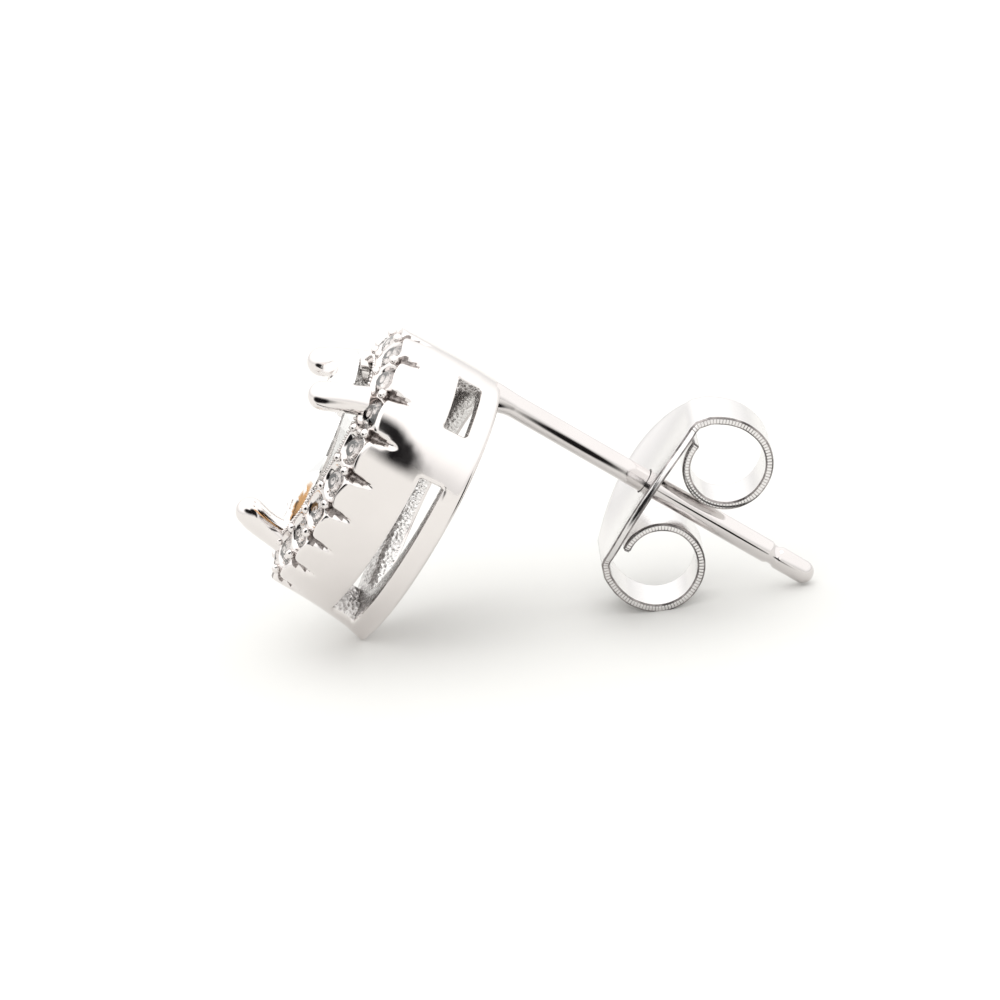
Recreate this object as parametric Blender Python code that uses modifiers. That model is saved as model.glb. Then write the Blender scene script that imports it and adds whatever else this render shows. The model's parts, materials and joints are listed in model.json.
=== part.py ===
"""Pear halo stud earring with a butterfly clutch, standing on its tip and clutch.

The head is modelled with its back face in the plane X = 0, its front towards
-X, and the point of the pear down. Y is the width. The post leaves the top of
the back face towards +X. At the end everything hangs on one empty, which tilts
the earring so that the point of the pear and the lower scroll of the clutch
touch the ground plane Z = 0.
"""

import math

import bmesh
import bpy
import numpy as np
from mathutils import Matrix, Vector

MM = 0.001
WELD = 0.0005 * MM

# Centre stone, a pear cut with its point down
STONE_WIDTH = 4.0 * MM
STONE_LENGTH = 6.0 * MM
STONE_TIP_RADIUS = 0.35 * MM
STONE_GIRDLE = 0.06 * MM
STONE_CROWN = 0.58 * MM
STONE_PAVILION = 1.55 * MM
STONE_TABLE_SHARE = 0.60
STONE_ABOVE_HALO = 0.20 * MM
STONE_TILT = math.radians(6.0)
STONE_SIDES = 16

# Pear outlines: how the point grows with the offset from the stone's outline
TIP_REACH_SHARE = 1.20
TIP_RADIUS_SHARE = 0.60

# Gallery wall, halo rim and back rim
WALL_OFFSET = 1.20 * MM
WALL_THICKNESS = 0.45 * MM
WALL_DEPTH = 3.36 * MM
FLARE_TIP = 0.46 * MM
FLARE_TOP = -0.20 * MM
BACK_RIM_DEPTH = 0.60 * MM
BACK_RIM_OFFSET = 0.30 * MM
EDGE_ROUND = 0.12 * MM
HALO_RISE = 0.40 * MM
HALO_INNER_OFFSET = 0.08 * MM
HALO_THICKNESS = 0.70 * MM
THROAT_OFFSET = -0.26 * MM
THROAT_STEP = 0.22 * MM
STONE_SEAT_GAP = 0.05 * MM
STONE_SEAT_DEPTH = 0.24 * MM

# Scallops, halo stones and beads
SCALLOPS = 17
STATIONS_PER_SCALLOP = 4
HALO_STONE_SPACING = 0.28 * MM
HALO_STONE_CROWN = 0.15 * MM
HALO_STONE_GIRDLE = 0.03 * MM
HALO_STONE_PAVILION = 0.36 * MM
HALO_STONE_SINK = 0.05 * MM
HALO_STONE_TABLE_SHARE = 0.56
HALO_STONE_SIDES = 8
PIT_GAP = 0.045 * MM
PIT_CUT_HEIGHT = 0.35 * MM
PIT_POINT_RADIUS = 0.10 * MM
PIT_SIDES = 14
NOTCH_LENGTH = 0.66 * MM
NOTCH_RADIUS = 0.17 * MM
NOTCH_SIDES = 10
BEAD_RADIUS = 0.14 * MM
BEAD_SIDES = 8
OUTER_BEAD_INSET = 0.27 * MM
INNER_BEAD_INSET = 0.16 * MM

# A notch from its point towards the rim: radius and depth as shares
NOTCH_PATH = (
    {"radius": 0.62, "depth": 0.15},
    {"radius": 1.00, "depth": 0.40},
    {"radius": 1.35, "depth": 1.00},
    {"radius": 1.90, "depth": 1.70},
)

# Windows in the wall, along the wall's depth and around the outline
WINDOW_BACK = 0.70 * MM
WINDOW_WIDTH = 0.72 * MM
SHORT_WINDOW_FROM = math.radians(17.0)
SHORT_WINDOW_TO = math.radians(53.0)
LONG_WINDOW_FROM = math.radians(84.0)
LONG_WINDOW_TIP_SHARE = 0.034
WINDOW_CUT_FROM = 0.45 * MM
WINDOW_CUT_TO = 2.20 * MM

# Prongs
PRONG_RADIUS = 0.44 * MM
PRONG_ABOVE_TABLE = 0.76 * MM
PRONG_OFFSET = 0.10 * MM
PRONG_FOOT = 0.20 * MM
PRONG_ANGLE = math.radians(38.0)
PRONG_LEAN_IN = 0.10 * MM
PRONG_LEAN_DOWN = 0.46 * MM
PRONG_LEAN_UP = 0.26 * MM
PRONG_SIDES = 16

# Post
POST_RADIUS = 0.35 * MM
POST_LENGTH = 11.1 * MM
POST_DROP = 2.69 * MM
POST_LEAN = math.radians(4.0)
POST_SIDES = 24
GROOVE_FROM_TIP = 1.40 * MM
GROOVE_WIDTH = 0.34 * MM
GROOVE_DEPTH = 0.06 * MM
FILLET_RADIUS = 0.46 * MM
FILLET_LENGTH = 0.62 * MM
ROOT_DEPTH = 0.40 * MM

# What is worn flat at the two places where the earring stands
REST_FLAT = 0.04 * MM

# Clutch
CLUTCH_AT = 5.28 * MM
STRIP_THICKNESS = 0.24 * MM
PLATE_HALF_WIDTH = 2.15 * MM
PLATE_DISH = 0.30 * MM
PLATE_REACH = 2.40 * MM
PLATE_TAPER = 0.84
SCROLL_BACK = 1.52 * MM
SCROLL_UP = 1.84 * MM
SCROLL_RADIUS = 1.25 * MM
STRIP_HALF_WIDTH = 0.80 * MM
CLUTCH_HOLE_GAP = 0.05 * MM
DRILL_REACH = 1.50 * MM
STRIP_COLUMNS = 6
PLATE_STATIONS = (0.0, 0.22, 0.42, 0.60, 0.76, 0.90, 1.0)

# The scroll's path: angle from +X towards the outside, radius as a share of
# SCROLL_RADIUS, half width as a share of STRIP_HALF_WIDTH
SCROLL_PATH = (
    {"angle": 140.0, "radius": 1.26, "width": 1.26},
    {"angle": 128.0, "radius": 1.19, "width": 1.20},
    {"angle": 110.0, "radius": 1.13, "width": 1.15},
    {"angle": 86.0, "radius": 1.08, "width": 1.10},
    {"angle": 60.0, "radius": 1.06, "width": 1.06},
    {"angle": 0.0, "radius": 1.00, "width": 1.00},
    {"angle": -90.0, "radius": 1.00, "width": 0.96},
    {"angle": -140.0, "radius": 0.95, "width": 0.94},
    {"angle": -186.0, "radius": 0.88, "width": 0.92},
)
SCROLL_STEP = math.radians(11.0)

# The wall's flare, by the share of the wall's depth measured from its front
FLARE_PATH = (
    {"depth": 0.00, "flare": 0.00},
    {"depth": 0.28, "flare": 0.12},
    {"depth": 0.52, "flare": 0.30},
    {"depth": 0.77, "flare": 0.56},
    {"depth": 1.00, "flare": 1.00},
)


def clear_scene():
    """Remove every object and mesh that the scene starts with."""
    for item in list(bpy.data.objects):
        bpy.data.objects.remove(item, do_unlink=True)
    for mesh in list(bpy.data.meshes):
        bpy.data.meshes.remove(mesh)


def new_collection(name):
    group = bpy.data.collections.new(name)
    bpy.context.scene.collection.children.link(group)
    return group


def new_material(name, colour, metallic, roughness, transmission=0.0, ior=1.45):
    material = bpy.data.materials.new(name)
    material.use_nodes = True
    shader = material.node_tree.nodes["Principled BSDF"]
    shader.inputs["Base Color"].default_value = (*colour, 1.0)
    shader.inputs["Metallic"].default_value = metallic
    shader.inputs["Roughness"].default_value = roughness
    shader.inputs["Transmission Weight"].default_value = transmission
    shader.inputs["IOR"].default_value = ior
    material.diffuse_color = (*colour, 1.0)
    return material


def add_object(name, mesh, group):
    item = bpy.data.objects.new(name, mesh)
    group.objects.link(item)
    return item


def add_cutter(name, mesh, group):
    item = add_object(name, mesh, group)
    item.hide_render = True
    item.display_type = "WIRE"
    return item


def solid_mesh(name, points, faces):
    """A closed mesh from points and faces, with its normals pointing out."""
    mesh = bpy.data.meshes.new(name)
    mesh.from_pydata([tuple(point) for point in points], [], faces)
    work = bmesh.new()
    work.from_mesh(mesh)
    bmesh.ops.recalc_face_normals(work, faces=work.faces)
    work.to_mesh(mesh)
    work.free()
    return mesh


def merged_mesh(name, placed):
    """One mesh from (mesh, matrix) pairs that don't touch each other."""
    work = bmesh.new()
    for mesh, matrix in placed:
        piece = bmesh.new()
        piece.from_mesh(mesh)
        piece.transform(matrix)
        moved = bpy.data.meshes.new("moved")
        piece.to_mesh(moved)
        piece.free()
        work.from_mesh(moved)
        bpy.data.meshes.remove(moved)
    mesh = bpy.data.meshes.new(name)
    work.to_mesh(mesh)
    work.free()
    return mesh


def evaluated_mesh(item):
    """The mesh of an object with its modifiers applied."""
    bpy.context.view_layer.update()
    depsgraph = bpy.context.evaluated_depsgraph_get()
    return bpy.data.meshes.new_from_object(item.evaluated_get(depsgraph))


def turned_mesh(name, profile, sides, group):
    """Turn a (radius, height) profile, given from top to bottom, about Z."""
    mesh = bpy.data.meshes.new(name)
    points = [(radius, 0.0, height) for radius, height in profile]
    edges = [(i, i + 1) for i in range(len(points) - 1)]
    mesh.from_pydata(points, edges, [])
    item = add_object(name, mesh, group)
    screw = item.modifiers.new("turn", "SCREW")
    screw.axis = "Z"
    screw.steps = sides
    screw.render_steps = sides
    screw.use_merge_vertices = True
    screw.merge_threshold = 0.0000001
    turned = evaluated_mesh(item)
    bpy.data.objects.remove(item, do_unlink=True)
    work = bmesh.new()
    work.from_mesh(turned)
    bmesh.ops.remove_doubles(work, verts=work.verts, dist=0.0000001)
    bmesh.ops.recalc_face_normals(work, faces=work.faces)
    work.to_mesh(turned)
    work.free()
    return turned


def boolean(item, cutter, operation):
    """Cut or join one object with another and keep the result as its mesh."""
    step = item.modifiers.new("boolean", "BOOLEAN")
    step.operation = operation
    step.solver = "EXACT"
    step.object = cutter
    mesh = evaluated_mesh(item)
    item.modifiers.remove(step)
    work = bmesh.new()
    work.from_mesh(mesh)
    bmesh.ops.remove_doubles(work, verts=work.verts, dist=WELD)
    bmesh.ops.dissolve_degenerate(work, edges=work.edges, dist=WELD)
    work.to_mesh(mesh)
    work.free()
    old = item.data
    item.data = mesh
    bpy.data.meshes.remove(old)


def pear_arcs(offset):
    """The arcs of the pear outline that lies at an offset from the stone's."""
    top = STONE_WIDTH / 2 + offset
    reach = STONE_LENGTH - STONE_WIDTH / 2 + TIP_REACH_SHARE * offset
    tip = STONE_TIP_RADIUS + TIP_RADIUS_SHARE * offset
    drop = reach - tip
    side = (top * top + drop * drop - tip * tip) / (2 * (top - tip))
    turn = math.atan2(drop, side - top)
    return top, side, tip, drop, turn


def arc_lengths(offset):
    """Lengths of the point's, the side's and the top's arc on one half."""
    top, side, tip, drop, turn = pear_arcs(offset)
    return tip * (math.pi / 2 - turn), side * turn, top * math.pi / 2


def outline_shares():
    """Shares of the halo's outline at which the point and the side arcs end."""
    tip_length, side_length, top_length = arc_lengths(0.7 * WALL_OFFSET)
    whole = 2 * (tip_length + side_length + top_length)
    return tip_length / whole, (tip_length + side_length) / whole


TIP_END, SIDE_END = outline_shares()
HALO_MIDDLE = (WALL_OFFSET + HALO_INNER_OFFSET) / 2
HALO_PITCH = 2 * sum(arc_lengths(HALO_MIDDLE)) / SCALLOPS
HALO_STONE_DIAMETER = HALO_PITCH - HALO_STONE_SPACING
HALO_SLOPE = HALO_RISE / (WALL_OFFSET - HALO_INNER_OFFSET)


def pear_point(share, offset):
    """Point and outward normal (Y, Z) of an outline about its round centre.

    The share runs from the point (0) up the +Y side to the top (0.5) and back.
    """
    share = share % 1.0
    mirror = 1.0
    if share > 0.5:
        share = 1.0 - share
        mirror = -1.0
    top, side, tip, drop, turn = pear_arcs(offset)
    if share < TIP_END:
        angle = -math.pi / 2 + share / TIP_END * (math.pi / 2 - turn)
        centre = (0.0, -drop)
        radius = tip
    elif share < SIDE_END:
        angle = -turn * (1.0 - (share - TIP_END) / (SIDE_END - TIP_END))
        centre = (top - side, 0.0)
        radius = side
    else:
        angle = math.pi / 2 * (share - SIDE_END) / (0.5 - SIDE_END)
        centre = (0.0, 0.0)
        radius = top
    y = centre[0] + radius * math.cos(angle)
    z = centre[1] + radius * math.sin(angle)
    return (mirror * y, z), (mirror * math.cos(angle), math.sin(angle))


def share_from_top(angle):
    """The share of the outline at an angle from the top, on the +Y side."""
    return 0.5 - angle / (math.pi / 2) * (0.5 - SIDE_END)


def flare_at(normal_z, depth_share):
    """How far the wall stands out from WALL_OFFSET at one place."""
    depths = [row["depth"] for row in FLARE_PATH]
    flares = [row["flare"] for row in FLARE_PATH]
    growth = float(np.interp(depth_share, depths, flares))
    low = ((1.0 - normal_z) / 2) ** 1.5
    high = (1.0 + normal_z) / 2
    return growth * (FLARE_TIP * low + FLARE_TOP * high)


def head_point(share, offset, x, flare=0.0):
    """Point in the head's frame at a share of the outline."""
    normal = pear_point(share, offset)[1]
    spread = flare_at(normal[1], flare)
    (y, z), normal = pear_point(share, offset + spread)
    return Vector((x, y, z - POST_DROP))


def face_frame(share, offset):
    """Matrix on the sloped halo face, with Z out of the face."""
    (y, z), normal = pear_point(share, offset)
    x = -WALL_DEPTH - HALO_SLOPE * (WALL_OFFSET - offset)
    out = Vector((0.0, normal[0], normal[1]))
    front = Vector((-1.0, 0.0, 0.0))
    up = (front + out * HALO_SLOPE).normalized()
    along = front.cross(out).normalized()
    across = along.cross(up)
    matrix = Matrix((across, along, up)).transposed().to_4x4()
    matrix.translation = Vector((x, y, z - POST_DROP))
    return matrix


def ring_mesh(name, profile, shares):
    """A closed ring: a profile of (offset, x, flare) carried round the pear."""
    points = []
    for share in shares:
        for offset, x, flare in profile:
            points.append(head_point(share, offset, x, flare))
    rows = len(shares)
    columns = len(profile)
    faces = []
    for i in range(rows):
        k = (i + 1) % rows
        for j in range(columns):
            m = (j + 1) % columns
            faces.append((i * columns + j, k * columns + j, k * columns + m, i * columns + m))
    return solid_mesh(name, points, faces)


def block_mesh(name, shares, inner, outer, back, front):
    """A bent block between two offsets and two depths, for a window."""
    points = []
    for share in shares:
        points.append(head_point(share, inner, back))
        points.append(head_point(share, outer, back))
        points.append(head_point(share, outer, front))
        points.append(head_point(share, inner, front))
    faces = [(0, 1, 2, 3)]
    for i in range(len(shares) - 1):
        for j in range(4):
            m = (j + 1) % 4
            faces.append((4 * i + j, 4 * i + m, 4 * i + 4 + m, 4 * i + 4 + j))
    last = 4 * (len(shares) - 1)
    faces.append((last, last + 3, last + 2, last + 1))
    return solid_mesh(name, points, faces)


def round_stone_mesh():
    """A round stone about Z, with its girdle's top at Z = 0."""
    radius = HALO_STONE_DIAMETER / 2
    table = radius * HALO_STONE_TABLE_SHARE
    count = HALO_STONE_SIDES
    points = []
    for i in range(count):
        angle = 2 * math.pi * (i + 0.5) / count
        points.append((table * math.cos(angle), table * math.sin(angle), HALO_STONE_CROWN))
    for height in (0.0, -HALO_STONE_GIRDLE):
        for i in range(count):
            angle = 2 * math.pi * i / count
            points.append((radius * math.cos(angle), radius * math.sin(angle), height))
    points.append((0.0, 0.0, -HALO_STONE_GIRDLE - HALO_STONE_PAVILION))
    faces = [tuple(range(count))]
    for i in range(count):
        k = (i + 1) % count
        faces.append((i, count + i, count + k))
        faces.append((i, count + k, k))
        faces.append((count + i, 2 * count + i, 2 * count + k, count + k))
        faces.append((2 * count + i, 3 * count, 2 * count + k))
    return solid_mesh("halo_stone", points, faces)


STONE_GIRDLE_X = -(WALL_DEPTH + HALO_RISE + STONE_ABOVE_HALO)
STONE_MIDDLE_Z = -(STONE_LENGTH - STONE_WIDTH) / 2


def stone_tilt():
    """Matrix that raises the round end of the centre stone in its seat."""
    middle = Matrix.Translation((STONE_GIRDLE_X, 0.0, STONE_MIDDLE_Z - POST_DROP))
    return middle @ Matrix.Rotation(-STONE_TILT, 4, "Y") @ middle.inverted()


def centre_stone_mesh():
    """The faceted pear stone in the head's frame."""
    count = STONE_SIDES
    front = STONE_GIRDLE_X - STONE_CROWN
    points = []
    half = count // 2
    for i in range(half):
        (y, z), normal = pear_point((i + 0.5) / half, 0.0)
        y = y * STONE_TABLE_SHARE
        z = STONE_MIDDLE_Z + (z - STONE_MIDDLE_Z) * STONE_TABLE_SHARE
        points.append(Vector((front, y, z - POST_DROP)))
    for depth in (0.0, STONE_GIRDLE):
        for i in range(count):
            points.append(head_point(i / count, 0.0, STONE_GIRDLE_X + depth))
    culet = STONE_GIRDLE_X + STONE_GIRDLE + STONE_PAVILION
    points.append(Vector((culet, 0.0, STONE_MIDDLE_Z * 0.5 - POST_DROP)))
    upper = half
    lower = half + count
    faces = [tuple(range(half))]
    for i in range(half):
        k = (i + 1) % half
        a = upper + (2 * i) % count
        b = upper + (2 * i + 1) % count
        c = upper + (2 * i + 2) % count
        faces.append((i, a, b))
        faces.append((i, b, c))
        faces.append((i, c, k))
    for i in range(count):
        k = (i + 1) % count
        faces.append((upper + i, lower + i, lower + k, upper + k))
        faces.append((lower + i, lower + count, lower + k))
    tilt = stone_tilt()
    return solid_mesh("centre_stone", [tilt @ point for point in points], faces)


def stone_room_mesh(shares):
    """The centre stone's shape grown by its gap, to clear the prongs."""
    gap = STONE_SEAT_GAP
    table = -(STONE_WIDTH / 2) * (1.0 - STONE_TABLE_SHARE)
    rows = (
        (table * 0.75, STONE_GIRDLE_X - STONE_CROWN - gap),
        (gap, STONE_GIRDLE_X - gap),
        (gap, STONE_GIRDLE_X + STONE_GIRDLE + gap),
        (THROAT_OFFSET + gap, STONE_GIRDLE_X + STONE_GIRDLE + gap + STONE_SEAT_DEPTH),
    )
    tilt = stone_tilt()
    points = []
    for offset, x in rows:
        for share in shares:
            if offset < THROAT_OFFSET:
                scale = 1.0 + offset / (STONE_WIDTH / 2)
                y, z = pear_point(share, 0.0)[0]
                z = STONE_MIDDLE_Z + (z - STONE_MIDDLE_Z) * scale
                point = Vector((x, y * scale, z - POST_DROP))
            else:
                point = head_point(share, offset, x)
            points.append(tilt @ point)
    count = len(shares)
    faces = [tuple(range(count))]
    for j in range(len(rows) - 1):
        for i in range(count):
            k = (i + 1) % count
            faces.append((j * count + i, (j + 1) * count + i, (j + 1) * count + k, j * count + k))
    last = (len(rows) - 1) * count
    faces.append(tuple(last + i for i in reversed(range(count))))
    return solid_mesh("stone_room", points, faces)


def prong_placements():
    """Foot and top of each prong's middle line, in the head's frame."""
    foot_x = -(WALL_DEPTH + PRONG_FOOT)
    top_x = STONE_GIRDLE_X - STONE_CROWN - PRONG_ABOVE_TABLE + PRONG_RADIUS
    side_share = share_from_top(math.pi / 2 - PRONG_ANGLE)
    leans = (
        (side_share, -PRONG_LEAN_IN, -PRONG_LEAN_DOWN),
        (1.0 - side_share, PRONG_LEAN_IN, -PRONG_LEAN_DOWN),
        (0.0, 0.0, PRONG_LEAN_UP),
    )
    places = []
    for share, lean_y, lean_z in leans:
        foot = head_point(share, PRONG_OFFSET, foot_x)
        top = Vector((top_x, foot.y + lean_y, foot.z + lean_z))
        places.append((foot, top))
    return places


def round_end(radius, length):
    """(radius, height) rows of a round end that closes a rod at its length."""
    angles = [math.radians(degrees) for degrees in (66.0, 43.0, 20.0)]
    rows = [(radius * math.cos(a), length - radius * (1.0 - math.sin(a))) for a in angles]
    return [(0.0, length)] + rows


def build_setting(parts, cutters):
    count = SCALLOPS * STATIONS_PER_SCALLOP
    shares = [(i + 0.5) / count for i in range(count)]
    lobes = [i / SCALLOPS for i in range(SCALLOPS)]
    gaps = [(i + 0.5) / SCALLOPS for i in range(SCALLOPS)]
    depth = -WALL_DEPTH
    inside = WALL_OFFSET - WALL_THICKNESS
    under = depth + HALO_THICKNESS
    throat_front = depth - HALO_RISE + THROAT_STEP
    throat_back = under - HALO_SLOPE * (inside - THROAT_OFFSET)
    profile = []
    for row in reversed(FLARE_PATH):
        wall_x = min(-EDGE_ROUND, depth * (1.0 - row["depth"]))
        profile.append((WALL_OFFSET, wall_x, row["depth"]))
    profile += [
        (HALO_INNER_OFFSET, depth - HALO_RISE, 0.0),
        (THROAT_OFFSET, throat_front, 0.0),
        (THROAT_OFFSET, throat_back, 0.0),
        (inside, under, 0.0),
        (inside, -BACK_RIM_DEPTH, 0.5),
        (BACK_RIM_OFFSET, -BACK_RIM_DEPTH, 0.0),
        (BACK_RIM_OFFSET, 0.0, 0.0),
        (WALL_OFFSET - EDGE_ROUND, 0.0, 1.0),
    ]
    setting = add_object("setting", ring_mesh("setting", profile, shares), parts)

    window_front = -WINDOW_BACK - WINDOW_WIDTH
    spans = (
        (share_from_top(SHORT_WINDOW_TO), share_from_top(SHORT_WINDOW_FROM), 8),
        (LONG_WINDOW_TIP_SHARE, share_from_top(LONG_WINDOW_FROM), 16),
    )
    blocks = []
    for start, end, steps in spans:
        for mirrored in (False, True):
            run = [start + (end - start) * i / steps for i in range(steps + 1)]
            if mirrored:
                run = [1.0 - share for share in run]
            block = block_mesh("window", run, WINDOW_CUT_FROM, WINDOW_CUT_TO, -WINDOW_BACK, window_front)
            blocks.append((block, Matrix.Identity(4)))
    windows = add_cutter("window_cutter", merged_mesh("window_cutter", blocks), cutters)
    boolean(setting, windows, "DIFFERENCE")

    notch_profile = [(0.0, 0.0)]
    for row in NOTCH_PATH:
        notch_profile.append((NOTCH_RADIUS * row["radius"], -NOTCH_LENGTH * row["depth"]))
    notch_profile.append((0.0, -NOTCH_LENGTH * NOTCH_PATH[-1]["depth"]))
    notch = turned_mesh("notch", notch_profile, NOTCH_SIDES, cutters)
    to_front = Matrix.Rotation(math.radians(90.0), 4, "Y")
    placed = []
    for share in gaps:
        spot = head_point(share, WALL_OFFSET + 0.05 * MM, depth + NOTCH_LENGTH)
        placed.append((notch, Matrix.Translation(spot) @ to_front))
    notches = add_cutter("notch_cutter", merged_mesh("notch_cutter", placed), cutters)
    boolean(setting, notches, "DIFFERENCE")

    placed = []
    for foot, top in prong_placements():
        length = (top - foot).length
        prong_profile = round_end(PRONG_RADIUS, length + PRONG_RADIUS)
        prong_profile += [(PRONG_RADIUS, length), (PRONG_RADIUS, 0.0), (0.0, 0.0)]
        prong = turned_mesh("prong", prong_profile, PRONG_SIDES, cutters)
        turn = (top - foot).to_track_quat("Z", "Y").to_matrix().to_4x4()
        placed.append((prong, Matrix.Translation(foot) @ turn))
    prongs = add_cutter("prongs", merged_mesh("prongs", placed), cutters)
    boolean(setting, prongs, "UNION")

    bead_profile = [(0.0, BEAD_RADIUS)]
    for degrees in (50, 12, -25):
        angle = math.radians(degrees)
        bead_profile.append((BEAD_RADIUS * math.cos(angle), BEAD_RADIUS * math.sin(angle)))
    bead_profile.append((0.0, -BEAD_RADIUS * 0.6))
    bead = turned_mesh("bead", bead_profile, BEAD_SIDES, cutters)
    placed = []
    for share in gaps:
        placed.append((bead, face_frame(share, WALL_OFFSET - OUTER_BEAD_INSET)))
        placed.append((bead, face_frame(share, HALO_INNER_OFFSET + INNER_BEAD_INSET)))
    beads = add_cutter("beads", merged_mesh("beads", placed), cutters)
    boolean(setting, beads, "UNION")

    groove = POST_LENGTH - GROOVE_FROM_TIP
    post_profile = round_end(POST_RADIUS, POST_LENGTH) + [
        (POST_RADIUS, POST_LENGTH - POST_RADIUS * 1.2),
        (POST_RADIUS, groove + GROOVE_WIDTH / 2),
        (POST_RADIUS - GROOVE_DEPTH, groove + GROOVE_WIDTH * 0.22),
        (POST_RADIUS - GROOVE_DEPTH, groove - GROOVE_WIDTH * 0.22),
        (POST_RADIUS, groove - GROOVE_WIDTH / 2),
        (POST_RADIUS, FILLET_LENGTH),
        (POST_RADIUS * 1.07, FILLET_LENGTH * 0.5),
        (FILLET_RADIUS, ROOT_DEPTH * 0.1),
        (FILLET_RADIUS * 0.93, -ROOT_DEPTH * 0.55),
        (FILLET_RADIUS * 0.62, -ROOT_DEPTH),
        (0.0, -ROOT_DEPTH),
    ]
    post_mesh = turned_mesh("post", post_profile, POST_SIDES, cutters)
    post_mesh.transform(Matrix.Rotation(math.pi / 2 + POST_LEAN, 4, "Y"))
    post = add_cutter("post", post_mesh, cutters)
    boolean(setting, post, "UNION")

    pit_radius = HALO_STONE_DIAMETER / 2 / math.cos(math.pi / PIT_SIDES) + PIT_GAP
    pit_shoulder = -HALO_STONE_SINK - HALO_STONE_GIRDLE - PIT_GAP
    pit_profile = (
        (0.0, PIT_CUT_HEIGHT),
        (pit_radius, PIT_CUT_HEIGHT),
        (pit_radius, pit_shoulder),
        (PIT_POINT_RADIUS, pit_shoulder - HALO_STONE_PAVILION),
        (0.0, pit_shoulder - HALO_STONE_PAVILION),
    )
    pit = turned_mesh("pit", pit_profile, PIT_SIDES, cutters)
    placed = [(pit, face_frame(share, HALO_MIDDLE)) for share in lobes]
    pits = add_cutter("pit_cutter", merged_mesh("pit_cutter", placed), cutters)
    boolean(setting, pits, "DIFFERENCE")

    room = add_cutter("stone_room", stone_room_mesh(shares), cutters)
    boolean(setting, room, "DIFFERENCE")
    return setting


def build_halo_stones(parts):
    mesh = round_stone_mesh()
    stones = []
    for i in range(SCALLOPS):
        stone = add_object("halo_stone_%02d" % (i + 1), mesh, parts)
        sink = Matrix.Translation((0.0, 0.0, -HALO_STONE_SINK))
        stone.matrix_world = face_frame(i / SCALLOPS, HALO_MIDDLE) @ sink
        stones.append(stone)
    return stones


def strip_half():
    """The strip's middle line (X, Z) and half width from the post outwards."""
    line = []
    for share in PLATE_STATIONS:
        oval = math.sqrt(1.0 - (share * PLATE_TAPER) ** 2)
        line.append((0.0, PLATE_REACH * share, PLATE_HALF_WIDTH * oval))
    line.append((0.05 * MM, PLATE_REACH + 0.17 * MM, STRIP_HALF_WIDTH * 1.36))
    angles = [-row["angle"] for row in SCROLL_PATH]
    radii = [row["radius"] for row in SCROLL_PATH]
    widths = [row["width"] for row in SCROLL_PATH]
    whole = math.radians(angles[-1] - angles[0])
    steps = round(whole / SCROLL_STEP)
    for i in range(steps + 1):
        angle = angles[0] + math.degrees(whole) * i / steps
        radius = SCROLL_RADIUS * float(np.interp(angle, angles, radii))
        width = STRIP_HALF_WIDTH * float(np.interp(angle, angles, widths))
        x = SCROLL_BACK + radius * math.cos(math.radians(-angle))
        z = SCROLL_UP + radius * math.sin(math.radians(-angle))
        line.append((x, z, width))
    return line


def build_clutch(parts, cutters):
    half = strip_half()
    line = [(x, -z, width) for x, z, width in reversed(half[1:])] + half
    points = []
    for x, z, width in line:
        for j in range(STRIP_COLUMNS + 1):
            across = 2.0 * j / STRIP_COLUMNS - 1.0
            flat = max(0.0, 1.0 - (abs(z) / PLATE_REACH) ** 2) if x == 0.0 else 0.0
            dish = PLATE_DISH * flat * across * across
            points.append((x - dish, width * across, z))
    row = STRIP_COLUMNS + 1
    faces = []
    for i in range(len(line) - 1):
        for j in range(STRIP_COLUMNS):
            a = i * row + j
            faces.append((a, a + 1, a + 1 + row, a + row))
    mesh = bpy.data.meshes.new("clutch")
    mesh.from_pydata(points, [], faces)
    clutch = add_object("clutch", mesh, parts)
    shell = clutch.modifiers.new("strip", "SOLIDIFY")
    shell.thickness = STRIP_THICKNESS
    shell.offset = 0.0
    shell.use_even_offset = True
    closed = evaluated_mesh(clutch)
    clutch.modifiers.remove(shell)
    clutch.data = closed
    bpy.data.meshes.remove(mesh)
    hole = (POST_RADIUS + CLUTCH_HOLE_GAP) / math.cos(math.pi / POST_SIDES)
    drill_profile = ((0.0, DRILL_REACH), (hole, DRILL_REACH), (hole, -DRILL_REACH), (0.0, -DRILL_REACH))
    drill_mesh = turned_mesh("post_hole", drill_profile, POST_SIDES, cutters)
    drill_mesh.transform(Matrix.Rotation(math.pi / 2, 4, "Y"))
    drill = add_cutter("post_hole", drill_mesh, cutters)
    boolean(clutch, drill, "DIFFERENCE")
    return clutch


def points_of(item):
    mesh = evaluated_mesh(item)
    count = len(mesh.vertices)
    flat = np.empty(count * 3)
    mesh.vertices.foreach_get("co", flat)
    bpy.data.meshes.remove(mesh)
    own = np.ones((count, 4))
    own[:, :3] = flat.reshape(count, 3)
    bpy.context.view_layer.update()
    return (own @ np.array(item.matrix_world).T)[:, :3]


def heights(points, tilt):
    return points[:, 2] * math.cos(tilt) - points[:, 0] * math.sin(tilt)


def resting_tilt(head, tail):
    """The tilt at which the head and what is behind it reach the same lowest height."""
    low, high = 0.0, math.radians(60.0)
    for _ in range(50):
        tilt = (low + high) / 2
        if heights(head, tilt).min() < heights(tail, tilt).min():
            low = tilt
        else:
            high = tilt
    return (low + high) / 2


def finish_shading(item, degrees):
    item.data.shade_smooth()
    item.data.set_sharp_from_angle(angle=math.radians(degrees))


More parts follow.
